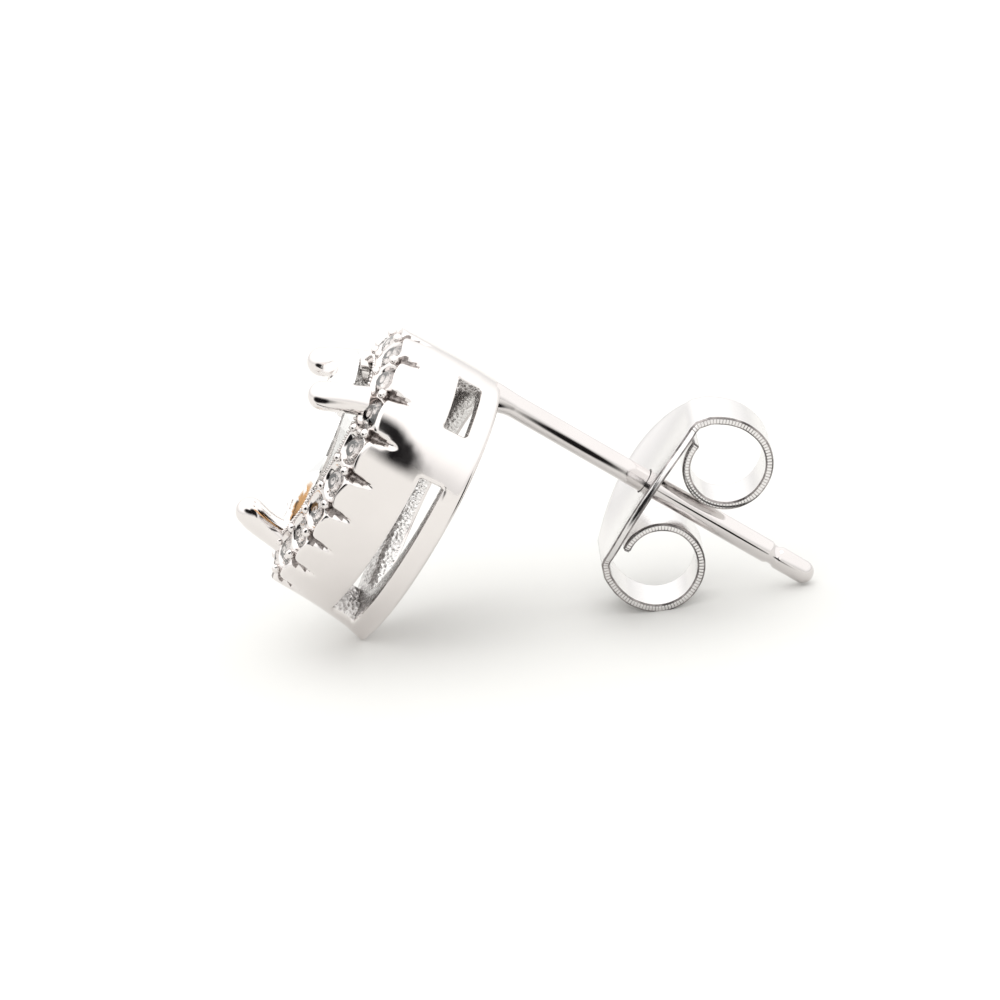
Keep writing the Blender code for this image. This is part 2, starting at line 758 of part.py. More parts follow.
def main():
    clear_scene()
    parts = new_collection("stud_earring")
    cutters = new_collection("cutters")

    setting = build_setting(parts, cutters)
    stone = add_object("centre_stone", centre_stone_mesh(), parts)
    stones = build_halo_stones(parts)
    clutch = build_clutch(parts, cutters)

    metal = new_material("bright_rhodium", (0.86, 0.86, 0.87), 1.0, 0.06)
    strip = new_material("stamped_rhodium", (0.84, 0.84, 0.85), 1.0, 0.10)
    clear = new_material("clear_stone", (1.0, 1.0, 1.0), 0.0, 0.0, 1.0, 2.15)
    pave = new_material("clear_halo_stone", (1.0, 1.0, 1.0), 0.0, 0.0, 1.0, 2.15)
    setting.data.materials.clear()
    setting.data.materials.append(metal)
    clutch.data.materials.clear()
    clutch.data.materials.append(strip)
    stone.data.materials.append(clear)
    stones[0].data.materials.append(pave)

    stance = bpy.data.objects.new("stance", None)
    parts.objects.link(stance)
    post_axis = bpy.data.objects.new("post_axis", None)
    parts.objects.link(post_axis)
    post_axis.parent = stance
    post_axis.matrix_local = Matrix.Rotation(POST_LEAN, 4, "Y")
    clutch.parent = post_axis
    clutch.location = (CLUTCH_AT, 0.0, 0.0)
    for item in [setting, stone] + stones:
        item.parent = stance

    metal_points = points_of(setting)
    behind = metal_points[:, 0] > FILLET_LENGTH
    tail = np.vstack([metal_points[behind], points_of(clutch)])
    tilt = resting_tilt(metal_points[~behind], tail)
    stance.rotation_euler = (0.0, tilt, 0.0)
    placed = np.vstack([points_of(item) for item in [setting, stone, clutch] + stones])
    low = placed.min(axis=0)
    high = placed.max(axis=0)
    stance.location = (-(low[0] + high[0]) / 2, -(low[1] + high[1]) / 2, -low[2] - REST_FLAT)
    ground = add_cutter("ground", bpy.data.meshes.new("ground"), cutters)
    block = bmesh.new()
    bmesh.ops.create_cube(block, size=4 * POST_LENGTH)
    bmesh.ops.translate(block, verts=block.verts, vec=(0.0, 0.0, -2 * POST_LENGTH))
    block.to_mesh(ground.data)
    block.free()
    for item in (setting, clutch):
        boolean(item, ground, "DIFFERENCE")
        finish_shading(item, 32.0)
    bpy.context.view_layer.update()


main()
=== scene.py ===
import json
import math

import bmesh
import bpy
import numpy as np
from mathutils import Matrix, Vector


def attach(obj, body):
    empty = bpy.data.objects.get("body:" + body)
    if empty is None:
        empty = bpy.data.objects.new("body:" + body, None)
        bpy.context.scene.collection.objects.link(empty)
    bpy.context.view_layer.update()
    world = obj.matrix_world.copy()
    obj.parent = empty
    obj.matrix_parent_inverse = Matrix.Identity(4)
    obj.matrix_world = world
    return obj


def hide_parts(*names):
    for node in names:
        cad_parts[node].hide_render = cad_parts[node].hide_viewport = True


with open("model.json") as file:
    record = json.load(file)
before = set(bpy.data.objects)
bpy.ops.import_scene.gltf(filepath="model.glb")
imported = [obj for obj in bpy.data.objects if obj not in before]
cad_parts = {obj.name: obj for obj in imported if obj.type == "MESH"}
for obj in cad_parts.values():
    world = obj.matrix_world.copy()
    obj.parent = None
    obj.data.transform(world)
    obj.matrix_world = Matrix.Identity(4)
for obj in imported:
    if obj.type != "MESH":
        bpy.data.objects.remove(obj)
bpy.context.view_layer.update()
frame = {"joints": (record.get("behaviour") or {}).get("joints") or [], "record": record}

MM = 0.001

# The head's frame has its back face in the plane X = 0 and its front towards -X,
# with the post's axis through the origin and the point of the pear down
POST_LEAN = math.radians(4.0)
ROUND_DROP = 2.69 * MM
BACK_MARK_OFFSET = 0.80 * MM

# Pear outline of the centre stone and how it grows outwards
STONE_WIDTH = 4.0 * MM
STONE_LENGTH = 6.0 * MM
STONE_POINT_RADIUS = 0.35 * MM
POINT_REACH_SHARE = 1.20
POINT_RADIUS_SHARE = 0.60
STONE_MIDDLE = -(STONE_LENGTH - STONE_WIDTH) / 2

# Gallery wall and halo rim
WALL_OFFSET = 1.20 * MM
WALL_INSIDE = 0.75 * MM
WALL_DEPTH = 3.36 * MM
FLARE_POINT = 0.46 * MM
FLARE_TOP = -0.20 * MM
BACK_RIM_OFFSET = 0.30 * MM
BACK_RIM_DEPTH = 0.60 * MM
HALO_RISE = 0.40 * MM
HALO_INNER_OFFSET = 0.08 * MM
HALO_SLOPE = HALO_RISE / (WALL_OFFSET - HALO_INNER_OFFSET)
THROAT_OFFSET = -0.26 * MM
THROAT_FRONT = WALL_DEPTH + HALO_RISE - 0.22 * MM
THROAT_BACK = 3.02 * MM
UNDERSIDE = WALL_DEPTH - 0.70 * MM
WINDOW_BACK = 0.70 * MM
WINDOW_FRONT = 1.42 * MM

# The windows' ends round the outline: a share from the point, then degrees from the top
LONG_WINDOW_START = 0.034
WINDOW_ANGLES = (84.0, 53.0, 17.0)

# Depths in mm of the wall's rows, on its outside from the back and on its inside from the front
OUTSIDE_ROWS = (0.07, 0.20, 0.42, 0.63, 0.70, 0.78, 0.95, 1.17, 1.34, 1.42, 1.49, 1.68, 1.90,
                2.12, 2.30, 2.45, 2.57, 2.69, 2.81, 2.92, 3.02, 3.11, 3.19, 3.26, 3.31)
INSIDE_ROWS = (1.90, 1.49, 1.42, 1.34, 1.17, 0.95, 0.78, 0.70, 0.66)

# Offsets in mm of the halo face's rows, from its outer edge inwards
HALO_ROWS = (1.13, 1.06, 0.97, 0.88, 0.78, 0.67, 0.56, 0.45, 0.35, 0.26, 0.18, 0.12)

# Scallops of the rim, their notches, and the pits that hold the halo stones
SCALLOPS = 17
RIM_LENGTH = 20.9 * MM
SCALLOP_STATIONS = (0.0, 0.19, 0.31, 0.38, 0.425, 0.465, 0.5, 0.535, 0.575, 0.62, 0.69, 0.81)
NOTCH_LENGTH = 0.82 * MM
NOTCH_FADE = 0.15
NOTCH_REACH = 0.20 * MM
# Where the notch metal lies round each notch: worn metal with painted shade in the groove
NOTCH_WEAR_SHADE_START = 0.1
NOTCH_WEAR_SHADE_FOOT = 0.03
NOTCH_WEAR_SHADE_SPREAD = 0.09
NOTCH_HALF_WIDTH = 0.15 * MM
NOTCH_DEPTH = 0.21 * MM
LOBE_SWELL = 0.05 * MM
RIM_DIP = 0.20 * MM
DIP_ACROSS = 0.36 * MM
DIP_ALONG = 0.55 * MM
PIT_RADIUS = 0.48 * MM
PIT_DEPTH = 0.40 * MM
HALO_STONE_RADIUS = 0.443 * MM
HALO_STONE_CROWN = 0.15 * MM
HALO_STONE_GIRDLE = 0.03 * MM
HALO_STONE_PAVILION = 0.36 * MM
HALO_STONE_SINK = 0.13 * MM
HALO_TABLE_SHARE = 0.58
BEAD_RADIUS = 0.145 * MM
BEAD_OUTER_INSET = 0.25 * MM
BEAD_INNER_INSET = 0.18 * MM
GRAINS_OFFSET = 0.06 * MM
GRAIN_RADIUS = 0.055 * MM
GRAIN_SPACING = 0.15 * MM

# Centre stone
STONE_TILT = math.radians(6.0)
GIRDLE_X = -(WALL_DEPTH + HALO_RISE + 0.20 * MM)
GIRDLE = 0.06 * MM
CROWN = 0.58 * MM
PAVILION = 1.55 * MM
TABLE_SHARE = 0.60

# Prongs
PRONG_RADIUS = 0.44 * MM
PRONG_ABOVE_TABLE = 0.76 * MM
PRONG_ANGLE = 38.0
PRONG_LEAN_IN = 0.10 * MM
PRONG_LEAN_DOWN = 0.46 * MM
PRONG_LEAN_UP = 0.26 * MM
PRONG_FOOT_OFFSET = 0.10 * MM
PRONG_FOOT_RISE = 0.20 * MM
PRONG_BOW = 0.06 * MM

# Post
POST_RADIUS = 0.35 * MM
POST_LENGTH = 11.1 * MM
GROOVE_FROM_TIP = 1.40 * MM
GROOVE_WIDTH = 0.34 * MM
GROOVE_DEPTH = 0.06 * MM
SOLDER_LENGTH = 0.62 * MM
SOLDER_SWELL = 0.22 * MM

# Clutch
CLUTCH_AT = 5.28 * MM
STRIP_THICKNESS = 0.24 * MM
PLATE_HALF_WIDTH = 2.15 * MM
PLATE_DISH = 0.30 * MM
PLATE_REACH = 2.40 * MM
PLATE_OVAL = 0.84
PLATE_STATIONS = 19
SCROLL_BACK = 1.52 * MM
SCROLL_UP = 1.84 * MM
SCROLL_RADIUS = 1.25 * MM
STRIP_HALF_WIDTH = 0.80 * MM
CLUTCH_HOLE_RADIUS = 0.40 * MM
EDGE_ROUNDING = 0.055 * MM
RIB_SPACING = 0.095 * MM
RIB_SIZE = (0.020 * MM, 0.02 * MM, 0.15 * MM)

# The scroll's path: angle in degrees, radius and half width as shares
SCROLL_PATH = (
    {"angle": 140.0, "radius": 1.26, "width": 1.26},
    {"angle": 128.0, "radius": 1.19, "width": 1.20},
    {"angle": 110.0, "radius": 1.13, "width": 1.15},
    {"angle": 86.0, "radius": 1.08, "width": 1.10},
    {"angle": 60.0, "radius": 1.06, "width": 1.06},
    {"angle": 0.0, "radius": 1.00, "width": 1.00},
    {"angle": -90.0, "radius": 1.00, "width": 0.96},
    {"angle": -140.0, "radius": 0.95, "width": 0.94},
    {"angle": -186.0, "radius": 0.88, "width": 0.92},
)

# The wall's flare by its depth, as shares measured from the front
FLARE_PATH = (
    {"depth": 0.00, "flare": 0.00},
    {"depth": 0.28, "flare": 0.12},
    {"depth": 0.52, "flare": 0.30},
    {"depth": 0.77, "flare": 0.56},
    {"depth": 1.00, "flare": 1.00},
)

# Width of a prong along its length, both as shares
PRONG_PATH = (
    {"along": 0.00, "width": 1.12},
    {"along": 0.10, "width": 1.06},
    {"along": 0.25, "width": 1.01},
    {"along": 0.45, "width": 0.99},
    {"along": 0.65, "width": 1.00},
    {"along": 0.82, "width": 1.03},
    {"along": 0.93, "width": 1.03},
)

# Material numbers of the gallery ring
OUTSIDE, INSIDE, WORN_SHADED_NOTCH, RIM_EDGE = range(4)

# Dark and light tones of the metals
RHODIUM_TONES = ((0.75, 0.715, 0.70), (0.80, 0.765, 0.75))
CAST_TONES = ((0.36, 0.34, 0.33), (0.84, 0.82, 0.81))
CAST_RIM_TONES = ((0.78, 0.76, 0.75), (0.96, 0.95, 0.94))
# Tones of the notches: worn metal, darkened with painted shade
NOTCH_WEAR_AND_SHADE_TONES = ((0.10, 0.085, 0.08), (0.52, 0.47, 0.45))
WIRE_TONES = ((0.66, 0.63, 0.62), (0.73, 0.70, 0.69))
STRIP_TONES = ((0.74, 0.72, 0.715), (0.83, 0.815, 0.81))
# Tones of the cut edges and of their ribs: duller metal, darkened with painted shade
EDGE_SHADE_TONES = ((0.10, 0.09, 0.09), (0.46, 0.43, 0.42))
RIB_SHADE_TONES = ((0.14, 0.13, 0.125), (0.62, 0.58, 0.57))

# Stones
STONE_REFRACTION = 2.15
# Grey tints of the colourless stones: painted shade that stands in for the dark reflections in their
# facets
PEAR_STONE_SHADE_TINT = (0.50, 0.485, 0.475)
HALO_STONE_SHADE_TINT = (0.72, 0.70, 0.69)

# Studio: a sky that brightens with height, a soft box overhead and a pale floor
SKY_COLOUR = (1.0, 0.995, 0.985)
SKY_HEIGHTS = (-0.02, 0.38)
SKY_STRENGTHS = (0.96, 1.42)
BOX_PLACE = (-0.03, 0.05, 0.30)
BOX_TARGET = (0.0, 0.0, 0.004)
BOX_SIZE = 0.34
BOX_RADIANCE = 0.45
FLOOR_COLOUR = (0.74, 0.738, 0.722)
FLOOR_HALF_SIZE = 0.6

# Flags that only reflections see: each faces a point of the earring from a direction. Points,
# distances and half sizes are in mm, and the roll is in degrees or is the post's tilt
DARK = (0.012, 0.011, 0.012)
AMBER = (0.85, 0.50, 0.24)
FLAG_SOLID_SHARE = 0.45
FLAGS = (
    {"name": "wall_flag", "point": (-3.86, -3.03, 7.08), "direction": (0.32, -0.93, 0.13),
     "distance": 12.0, "half_size": (1.6, 7.2), "roll": 34.0, "tint": DARK},
    {"name": "claw_flag", "point": (-5.4, -0.4, 8.2), "direction": (-0.58, -0.80, -0.17),
     "distance": 6.5, "half_size": (4.6, 3.0), "roll": 10.0, "tint": DARK},
    {"name": "low_claw_flag", "point": (-7.92, -0.39, 4.52), "direction": (0.30, -0.88, 0.38),
     "distance": 3.0, "half_size": (1.5, 1.5), "roll": 0.0, "tint": DARK},
    {"name": "post_flag", "point": (1.85, -0.35, 5.35), "direction": (0.04, -0.95, -0.30),
     "distance": 6.0, "half_size": (2.4, 4.0), "roll": "post", "tint": DARK},
    {"name": "tail_flag", "point": (6.0, -0.35, 2.05), "direction": (0.05, -0.99, -0.10),
     "distance": 2.6, "half_size": (3.2, 0.6), "roll": "post", "tint": DARK},
    {"name": "warm_flag", "point": (-6.31, -1.43, 5.07), "direction": (-0.88, 0.44, -0.18),
     "distance": 0.8, "half_size": (0.17, 0.85), "roll": 31.0, "tint": AMBER},
)

# The photograph's view
CAMERA_RIGHT = (0.9930, -0.0368, -0.1121)
CAMERA_BACK = (0.004, -0.939, 0.344)
CAMERA_AIM = (-0.611 * MM, -0.068 * MM, 3.822 * MM)
CAMERA_DISTANCE = 175.0 * MM
VIEW_WIDTH = 29.75 * MM


def post_tilt():
    """Angle of the post below the horizontal, from the slide joint's axis."""
    axis = frame["joints"][0]["axis"]
    return math.atan2(-axis[2], axis[0])


def frame_matrices():
    """Matrices of the head's frame and of the clutch's frame in the row frame."""
    axis = Vector(frame["joints"][0]["axis"])
    head_turn = Matrix.Rotation(post_tilt() - POST_LEAN, 4, "Y")
    mark = Vector(frame["record"]["mounts"][0]["pos_m"])
    mark_drop = STONE_LENGTH - STONE_WIDTH / 2 + POINT_REACH_SHARE * BACK_MARK_OFFSET + ROUND_DROP
    origin = mark - head_turn @ Vector((0.0, 0.0, -mark_drop))
    head = Matrix.Translation(origin) @ head_turn
    clutch = Matrix.Translation(origin + axis * CLUTCH_AT) @ Matrix.Rotation(post_tilt(), 4, "Y")
    return head, clutch


HEAD, CLUTCH = frame_matrices()


def pear_arcs(offset):
    """Radii, drop and turn of the three arcs of the outline at an offset."""
    top = STONE_WIDTH / 2 + offset
    reach = STONE_LENGTH - STONE_WIDTH / 2 + POINT_REACH_SHARE * offset
    point = STONE_POINT_RADIUS + POINT_RADIUS_SHARE * offset
    drop = reach - point
    side = (top * top + drop * drop - point * point) / (2 * (top - point))
    turn = math.atan2(drop, side - top)
    return top, side, point, drop, turn


def arc_shares():
    """Shares of the outline where the point's arc and the side's arc end."""
    top, side, point, drop, turn = pear_arcs(WALL_OFFSET * 0.7)
    lengths = (point * (math.pi / 2 - turn), side * turn, top * math.pi / 2)
    whole = 2 * sum(lengths)
    return lengths[0] / whole, (lengths[0] + lengths[1]) / whole


POINT_END, SIDE_END = arc_shares()


def pear_point(share, offset):
    """(Y, Z) point and outward normal about the round centre; share 0 is the point."""
    share = share % 1.0
    mirror = 1.0
    if share > 0.5:
        share = 1.0 - share
        mirror = -1.0
    top, side, point, drop, turn = pear_arcs(offset)
    if share < POINT_END:
        angle = -math.pi / 2 + share / POINT_END * (math.pi / 2 - turn)
        middle, radius = (0.0, -drop), point
    elif share < SIDE_END:
        angle = -turn * (1.0 - (share - POINT_END) / (SIDE_END - POINT_END))
        middle, radius = (top - side, 0.0), side
    else:
        angle = math.pi / 2 * (share - SIDE_END) / (0.5 - SIDE_END)
        middle, radius = (0.0, 0.0), top
    y = middle[0] + radius * math.cos(angle)
    z = middle[1] + radius * math.sin(angle)
    return (mirror * y, z), (mirror * math.cos(angle), math.sin(angle))


def share_from_top(degrees):
    return 0.5 - degrees / 90.0 * (0.5 - SIDE_END)


def flare_at(normal_z, depth_share):
    depths = [row["depth"] for row in FLARE_PATH]
    flares = [row["flare"] for row in FLARE_PATH]
    growth = float(np.interp(depth_share, depths, flares))
    low = ((1.0 - normal_z) / 2) ** 1.5
    return growth * (FLARE_POINT * low + FLARE_TOP * (1.0 + normal_z) / 2)


def head_point(share, offset, depth, flare=0.0):
    """Point in the head's frame, at a depth in front of the back face."""
    normal = pear_point(share, offset)[1]
    (y, z), normal = pear_point(share, offset + flare_at(normal[1], flare))
    return Vector((-depth, y, z - ROUND_DROP))


def rim_frame(share, offset):
    """Matrix on the sloped halo face, with Z out of the face."""
    (y, z), normal = pear_point(share, offset)
    depth = WALL_DEPTH + HALO_SLOPE * (WALL_OFFSET - offset)
    out = Vector((0.0, normal[0], normal[1]))
    front = Vector((-1.0, 0.0, 0.0))
    up = (front + out * HALO_SLOPE).normalized()
    along = front.cross(out).normalized()
    matrix = Matrix((along.cross(up), along, up)).transposed().to_4x4()
    matrix.translation = Vector((-depth, y, z - ROUND_DROP))
    return matrix


def linked(name, data):
    """A new object in the scene, at the origin."""
    item = bpy.data.objects.new(name, data)
    bpy.context.scene.collection.objects.link(item)
    return item


def applied(carrier):
    """The mesh of an object with its modifiers applied. The object is taken away."""
    bpy.context.view_layer.update()
    depsgraph = bpy.context.evaluated_depsgraph_get()
    result = bpy.data.meshes.new_from_object(carrier.evaluated_get(depsgraph))
    bpy.data.objects.remove(carrier)
    return result


def finished_piece(name, mesh, place, materials, smooth_angle=None):
    """Link a mesh as a piece, with its place in its mesh and its faces shaded."""
    mesh.transform(place)
    for material in materials:
        if material.name not in mesh.materials:
            mesh.materials.append(material)
    if smooth_angle is None:
        mesh.shade_flat()
    else:
        mesh.shade_smooth()
        mesh.set_sharp_from_angle(angle=math.radians(smooth_angle))
    return linked(name, mesh)


def mesh_of(name, points, faces, marks=None):
    """A mesh with its normals pointing out, and material numbers from marks."""
    mesh = bpy.data.meshes.new(name)
    mesh.from_pydata([tuple(point) for point in points], [], faces)
    if marks is not None:
        mesh.polygons.foreach_set("material_index", marks)
    work = bmesh.new()
    work.from_mesh(mesh)
    bmesh.ops.recalc_face_normals(work, faces=work.faces)
    work.to_mesh(mesh)
    work.free()
    return mesh


def with_modifiers(mesh, *modifiers):
    """The mesh that a few modifiers, given as (type, settings), make of a mesh."""
    carrier = linked("carrier", mesh)
    for kind, settings in modifiers:
        modifier = carrier.modifiers.new(kind.lower(), kind)
        for key, value in settings.items():
            setattr(modifier, key, value)
    return applied(carrier)


def tube_faces(rings, sides):
    """Faces of a closed tube of rings of points, with both its ends."""
    faces = []
    for i in range(rings - 1):
        for k in range(sides):
            m = (k + 1) % sides
            faces.append((i * sides + k, i * sides + m, (i + 1) * sides + m, (i + 1) * sides + k))
    faces.append(tuple(range(sides)))
    faces.append(tuple((rings - 1) * sides + k for k in range(sides)))
    return faces


def turned_mesh(name, profile, sides, stretch=None):
    """A closed shape turned about Z from (radius, height) rows, top to bottom."""
    points = []
    for radius, height in profile:
        for k in range(sides):
            angle = 2 * math.pi * k / sides
            grown = radius + (stretch(angle, height) if stretch else 0.0)
            points.append((grown * math.cos(angle), grown * math.sin(angle), height))
    return mesh_of(name, points, tube_faces(len(profile), sides))


def joined(name, placed):
    """One mesh from (mesh, matrix) pairs."""
    work = bmesh.new()
    for mesh, matrix in placed:
        part = mesh.copy()
        part.transform(matrix)
        work.from_mesh(part)
        bpy.data.meshes.remove(part)
    whole = bpy.data.meshes.new(name)
    work.to_mesh(whole)
    work.free()
    return whole


def node_input(tree, name, kind, value=None):
    socket = tree.interface.new_socket(name, in_out="INPUT", socket_type=kind)
    if value is not None:
        socket.default_value = value
    return socket


def set_input(modifier, name, value):
    for item in modifier.node_group.interface.items_tree:
        if item.item_type == "SOCKET" and item.in_out == "INPUT" and item.name == name:
            modifier[item.identifier] = value


def grown_by_nodes(mesh, tree, inputs):
    """The mesh that a node tree makes of a carrier mesh."""
    carrier = linked("carrier", mesh)
    modifier = carrier.modifiers.new("nodes", "NODES")
    modifier.node_group = tree
    for name, value in inputs.items():
        set_input(modifier, name, value)
    return applied(carrier)


def new_tree(name):
    tree = bpy.data.node_groups.new(name, "GeometryNodeTree")
    tree.interface.new_socket("Geometry", in_out="INPUT", socket_type="NodeSocketGeometry")
    tree.interface.new_socket("Geometry", in_out="OUTPUT", socket_type="NodeSocketGeometry")
    return tree


def finish_tree(tree, source, copies):
    """End a tree: its instances made real, with the material of its Finish input."""
    realize = tree.nodes.new("GeometryNodeRealizeInstances")
    finish = tree.nodes.new("GeometryNodeSetMaterial")
    result = tree.nodes.new("NodeGroupOutput")
    tree.links.new(copies.outputs["Instances"], realize.inputs["Geometry"])
    tree.links.new(realize.outputs["Geometry"], finish.inputs["Geometry"])
    tree.links.new(source.outputs["Finish"], finish.inputs["Material"])
    tree.links.new(finish.outputs["Geometry"], result.inputs["Geometry"])


def copies_along(tree, source, spacing):
    """Instances at an even spacing along the line that comes in."""
    curve = tree.nodes.new("GeometryNodeMeshToCurve")
    even = tree.nodes.new("GeometryNodeResampleCurve")
    even.mode = "LENGTH"
    copies = tree.nodes.new("GeometryNodeInstanceOnPoints")
    tree.links.new(source.outputs["Geometry"], curve.inputs["Mesh"])
    tree.links.new(curve.outputs["Curve"], even.inputs["Curve"])
    tree.links.new(source.outputs[spacing], even.inputs["Length"])
    tree.links.new(even.outputs["Curve"], copies.inputs["Points"])
    return copies


def placed_shapes_tree():
    """Sets a copy of a shape on each point, turned by the point's own attribute."""
    tree = new_tree("shapes_on_places")
    node_input(tree, "Shape", "NodeSocketObject")
    node_input(tree, "Finish", "NodeSocketMaterial")
    source = tree.nodes.new("NodeGroupInput")
    turn = tree.nodes.new("GeometryNodeInputNamedAttribute")
    turn.data_type = "FLOAT_VECTOR"
    turn.inputs["Name"].default_value = "turn"
    rotation = tree.nodes.new("FunctionNodeEulerToRotation")
    shape = tree.nodes.new("GeometryNodeObjectInfo")
    copies = tree.nodes.new("GeometryNodeInstanceOnPoints")
    tree.links.new(source.outputs["Geometry"], copies.inputs["Points"])
    tree.links.new(source.outputs["Shape"], shape.inputs["Object"])
    tree.links.new(shape.outputs["Geometry"], copies.inputs["Instance"])
    tree.links.new(turn.outputs["Attribute"], rotation.inputs["Euler"])
    tree.links.new(rotation.outputs["Rotation"], copies.inputs["Rotation"])
    finish_tree(tree, source, copies)
    return tree


def grain_line_tree():
    """Round grains at an even spacing along a line."""
    tree = new_tree("grains_on_line")
    node_input(tree, "Spacing", "NodeSocketFloat", GRAIN_SPACING)
    node_input(tree, "Radius", "NodeSocketFloat", GRAIN_RADIUS)
    node_input(tree, "Finish", "NodeSocketMaterial")
    source = tree.nodes.new("NodeGroupInput")
    grain = tree.nodes.new("GeometryNodeMeshIcoSphere")
    grain.inputs["Subdivisions"].default_value = 2
    copies = copies_along(tree, source, "Spacing")
    tree.links.new(source.outputs["Radius"], grain.inputs["Radius"])
    tree.links.new(grain.outputs["Mesh"], copies.inputs["Instance"])
    finish_tree(tree, source, copies)
    return tree


def ribs_tree():
    """Short ribs across a line in the XZ plane, at an even spacing."""
    tree = new_tree("ribs_on_edge")
    node_input(tree, "Spacing", "NodeSocketFloat", RIB_SPACING)
    node_input(tree, "Rib", "NodeSocketVector", RIB_SIZE)
    node_input(tree, "Finish", "NodeSocketMaterial")
    source = tree.nodes.new("NodeGroupInput")
    rib = tree.nodes.new("GeometryNodeMeshCube")
    tangent = tree.nodes.new("GeometryNodeInputTangent")
    turn = tree.nodes.new("FunctionNodeAlignRotationToVector")
    turn.axis = "X"
    turn.pivot_axis = "Y"
    copies = copies_along(tree, source, "Spacing")
    tree.links.new(source.outputs["Rib"], rib.inputs["Size"])
    tree.links.new(rib.outputs["Mesh"], copies.inputs["Instance"])
    tree.links.new(tangent.outputs["Tangent"], turn.inputs["Vector"])
    tree.links.new(turn.outputs["Rotation"], copies.inputs["Rotation"])
    finish_tree(tree, source, copies)
    return tree


def copies_at(shape_mesh, matrices, material):
    """Copies of a shape on matrices, made by the node tree."""
    carrier = bpy.data.meshes.new("places")
    carrier.from_pydata([tuple(matrix.translation) for matrix in matrices], [], [])
    turn = carrier.attributes.new("turn", "FLOAT_VECTOR", "POINT")
    angles = [angle for matrix in matrices for angle in matrix.to_euler()]
    turn.data.foreach_set("vector", angles)
    shape = linked("shape", shape_mesh)
    result = grown_by_nodes(carrier, placed_shapes_tree(), {"Shape": shape, "Finish": material})
    bpy.data.objects.remove(shape)
    return result


def new_material(name):
    material = bpy.data.materials.new(name)
    material.use_nodes = True
    return material, material.node_tree, material.node_tree.nodes["Principled BSDF"]


def new_metal(name):
    """A new metal material, with its tree, shader and Object coordinates."""
    material, tree, shader = new_material(name)
    shader.inputs["Metallic"].default_value = 1.0
    return material, tree, shader, tree.nodes.new("ShaderNodeTexCoord").outputs["Object"]


def add_tones(tree, shader, value, tones, low=0.0, high=1.0):
    """Colour a shader by a value, from a dark tone to a light one."""
    ramp = tree.nodes.new("ShaderNodeValToRGB")
    for element, position, tone in zip(ramp.color_ramp.elements, (low, high), tones):
        element.position = position
        element.color = (*tone, 1.0)
    tree.links.new(value, ramp.inputs["Fac"])
    tree.links.new(ramp.outputs["Color"], shader.inputs["Base Color"])


def add_roughness(tree, shader, value, smooth, rough):
    """Set a shader's roughness by a value, between two limits."""
    node = tree.nodes.new("ShaderNodeMapRange")
    node.inputs["To Min"].default_value = smooth
    node.inputs["To Max"].default_value = rough
    tree.links.new(value, node.inputs["Value"])
    tree.links.new(node.outputs["Result"], shader.inputs["Roughness"])


def noise_node(tree, coordinates, scale, detail, roughness=0.5):
    node = tree.nodes.new("ShaderNodeTexNoise")
    node.inputs["Scale"].default_value = scale
    node.inputs["Detail"].default_value = detail
    node.inputs["Roughness"].default_value = roughness
    tree.links.new(coordinates, node.inputs["Vector"])
    return node


def bump_node(tree, height, strength, distance):
    node = tree.nodes.new("ShaderNodeBump")
    node.inputs["Strength"].default_value = strength
    node.inputs["Distance"].default_value = distance
    tree.links.new(height, node.inputs["Height"])
    return node


def add_relief(tree, shader, height, strength, distance):
    """Give a shader a fine relief by a height."""
    bump = bump_node(tree, height, strength, distance)
    tree.links.new(bump.outputs["Normal"], shader.inputs["Normal"])


def polished_rhodium():
    """Bright plating over a hand-polished casting, with a soft unevenness."""
    material, tree, shader, where = new_metal("polished_rhodium")
    tone = noise_node(tree, where, 700.0, 3.0)
    add_tones(tree, shader, tone.outputs["Fac"], RHODIUM_TONES)
    wear = noise_node(tree, where, 2600.0, 5.0, 0.65)
    add_roughness(tree, shader, wear.outputs["Fac"], 0.02, 0.11)
    waves = noise_node(tree, where, 900.0, 2.0)
    add_relief(tree, shader, waves.outputs["Fac"], 0.10, 0.06 * MM)
    return material


def cast_inside(name, tones):
    """The unpolished grain of the casting inside the gallery, under its plating."""
    material, tree, shader, where = new_metal(name)
    grain = tree.nodes.new("ShaderNodeTexVoronoi")
    grain.inputs["Scale"].default_value = 9000.0
    tree.links.new(where, grain.inputs["Vector"])
    add_tones(tree, shader, grain.outputs["Distance"], tones)
    patches = noise_node(tree, where, 4000.0, 4.0)
    add_roughness(tree, shader, patches.outputs["Fac"], 0.12, 0.38)
    coarse = bump_node(tree, grain.outputs["Distance"], 0.8, 0.04 * MM)
    fine = bump_node(tree, patches.outputs["Fac"], 0.5, 0.03 * MM)
    tree.links.new(coarse.outputs["Normal"], fine.inputs["Normal"])
    tree.links.new(fine.outputs["Normal"], shader.inputs["Normal"])
    return material


def worn_and_shaded_notch():
    """Duller metal where the rim's notches were cut and not polished. Its dark tone is also a painted
    shade in the grooves.
    """
    material, tree, shader, where = new_metal("worn_and_shaded_notch")
    grain = noise_node(tree, where, 9000.0, 4.0, 0.7)
    add_tones(tree, shader, grain.outputs["Fac"], NOTCH_WEAR_AND_SHADE_TONES, 0.35, 0.68)
    shader.inputs["Roughness"].default_value = 0.3
    add_relief(tree, shader, grain.outputs["Fac"], 0.5, 0.03 * MM)
    return material


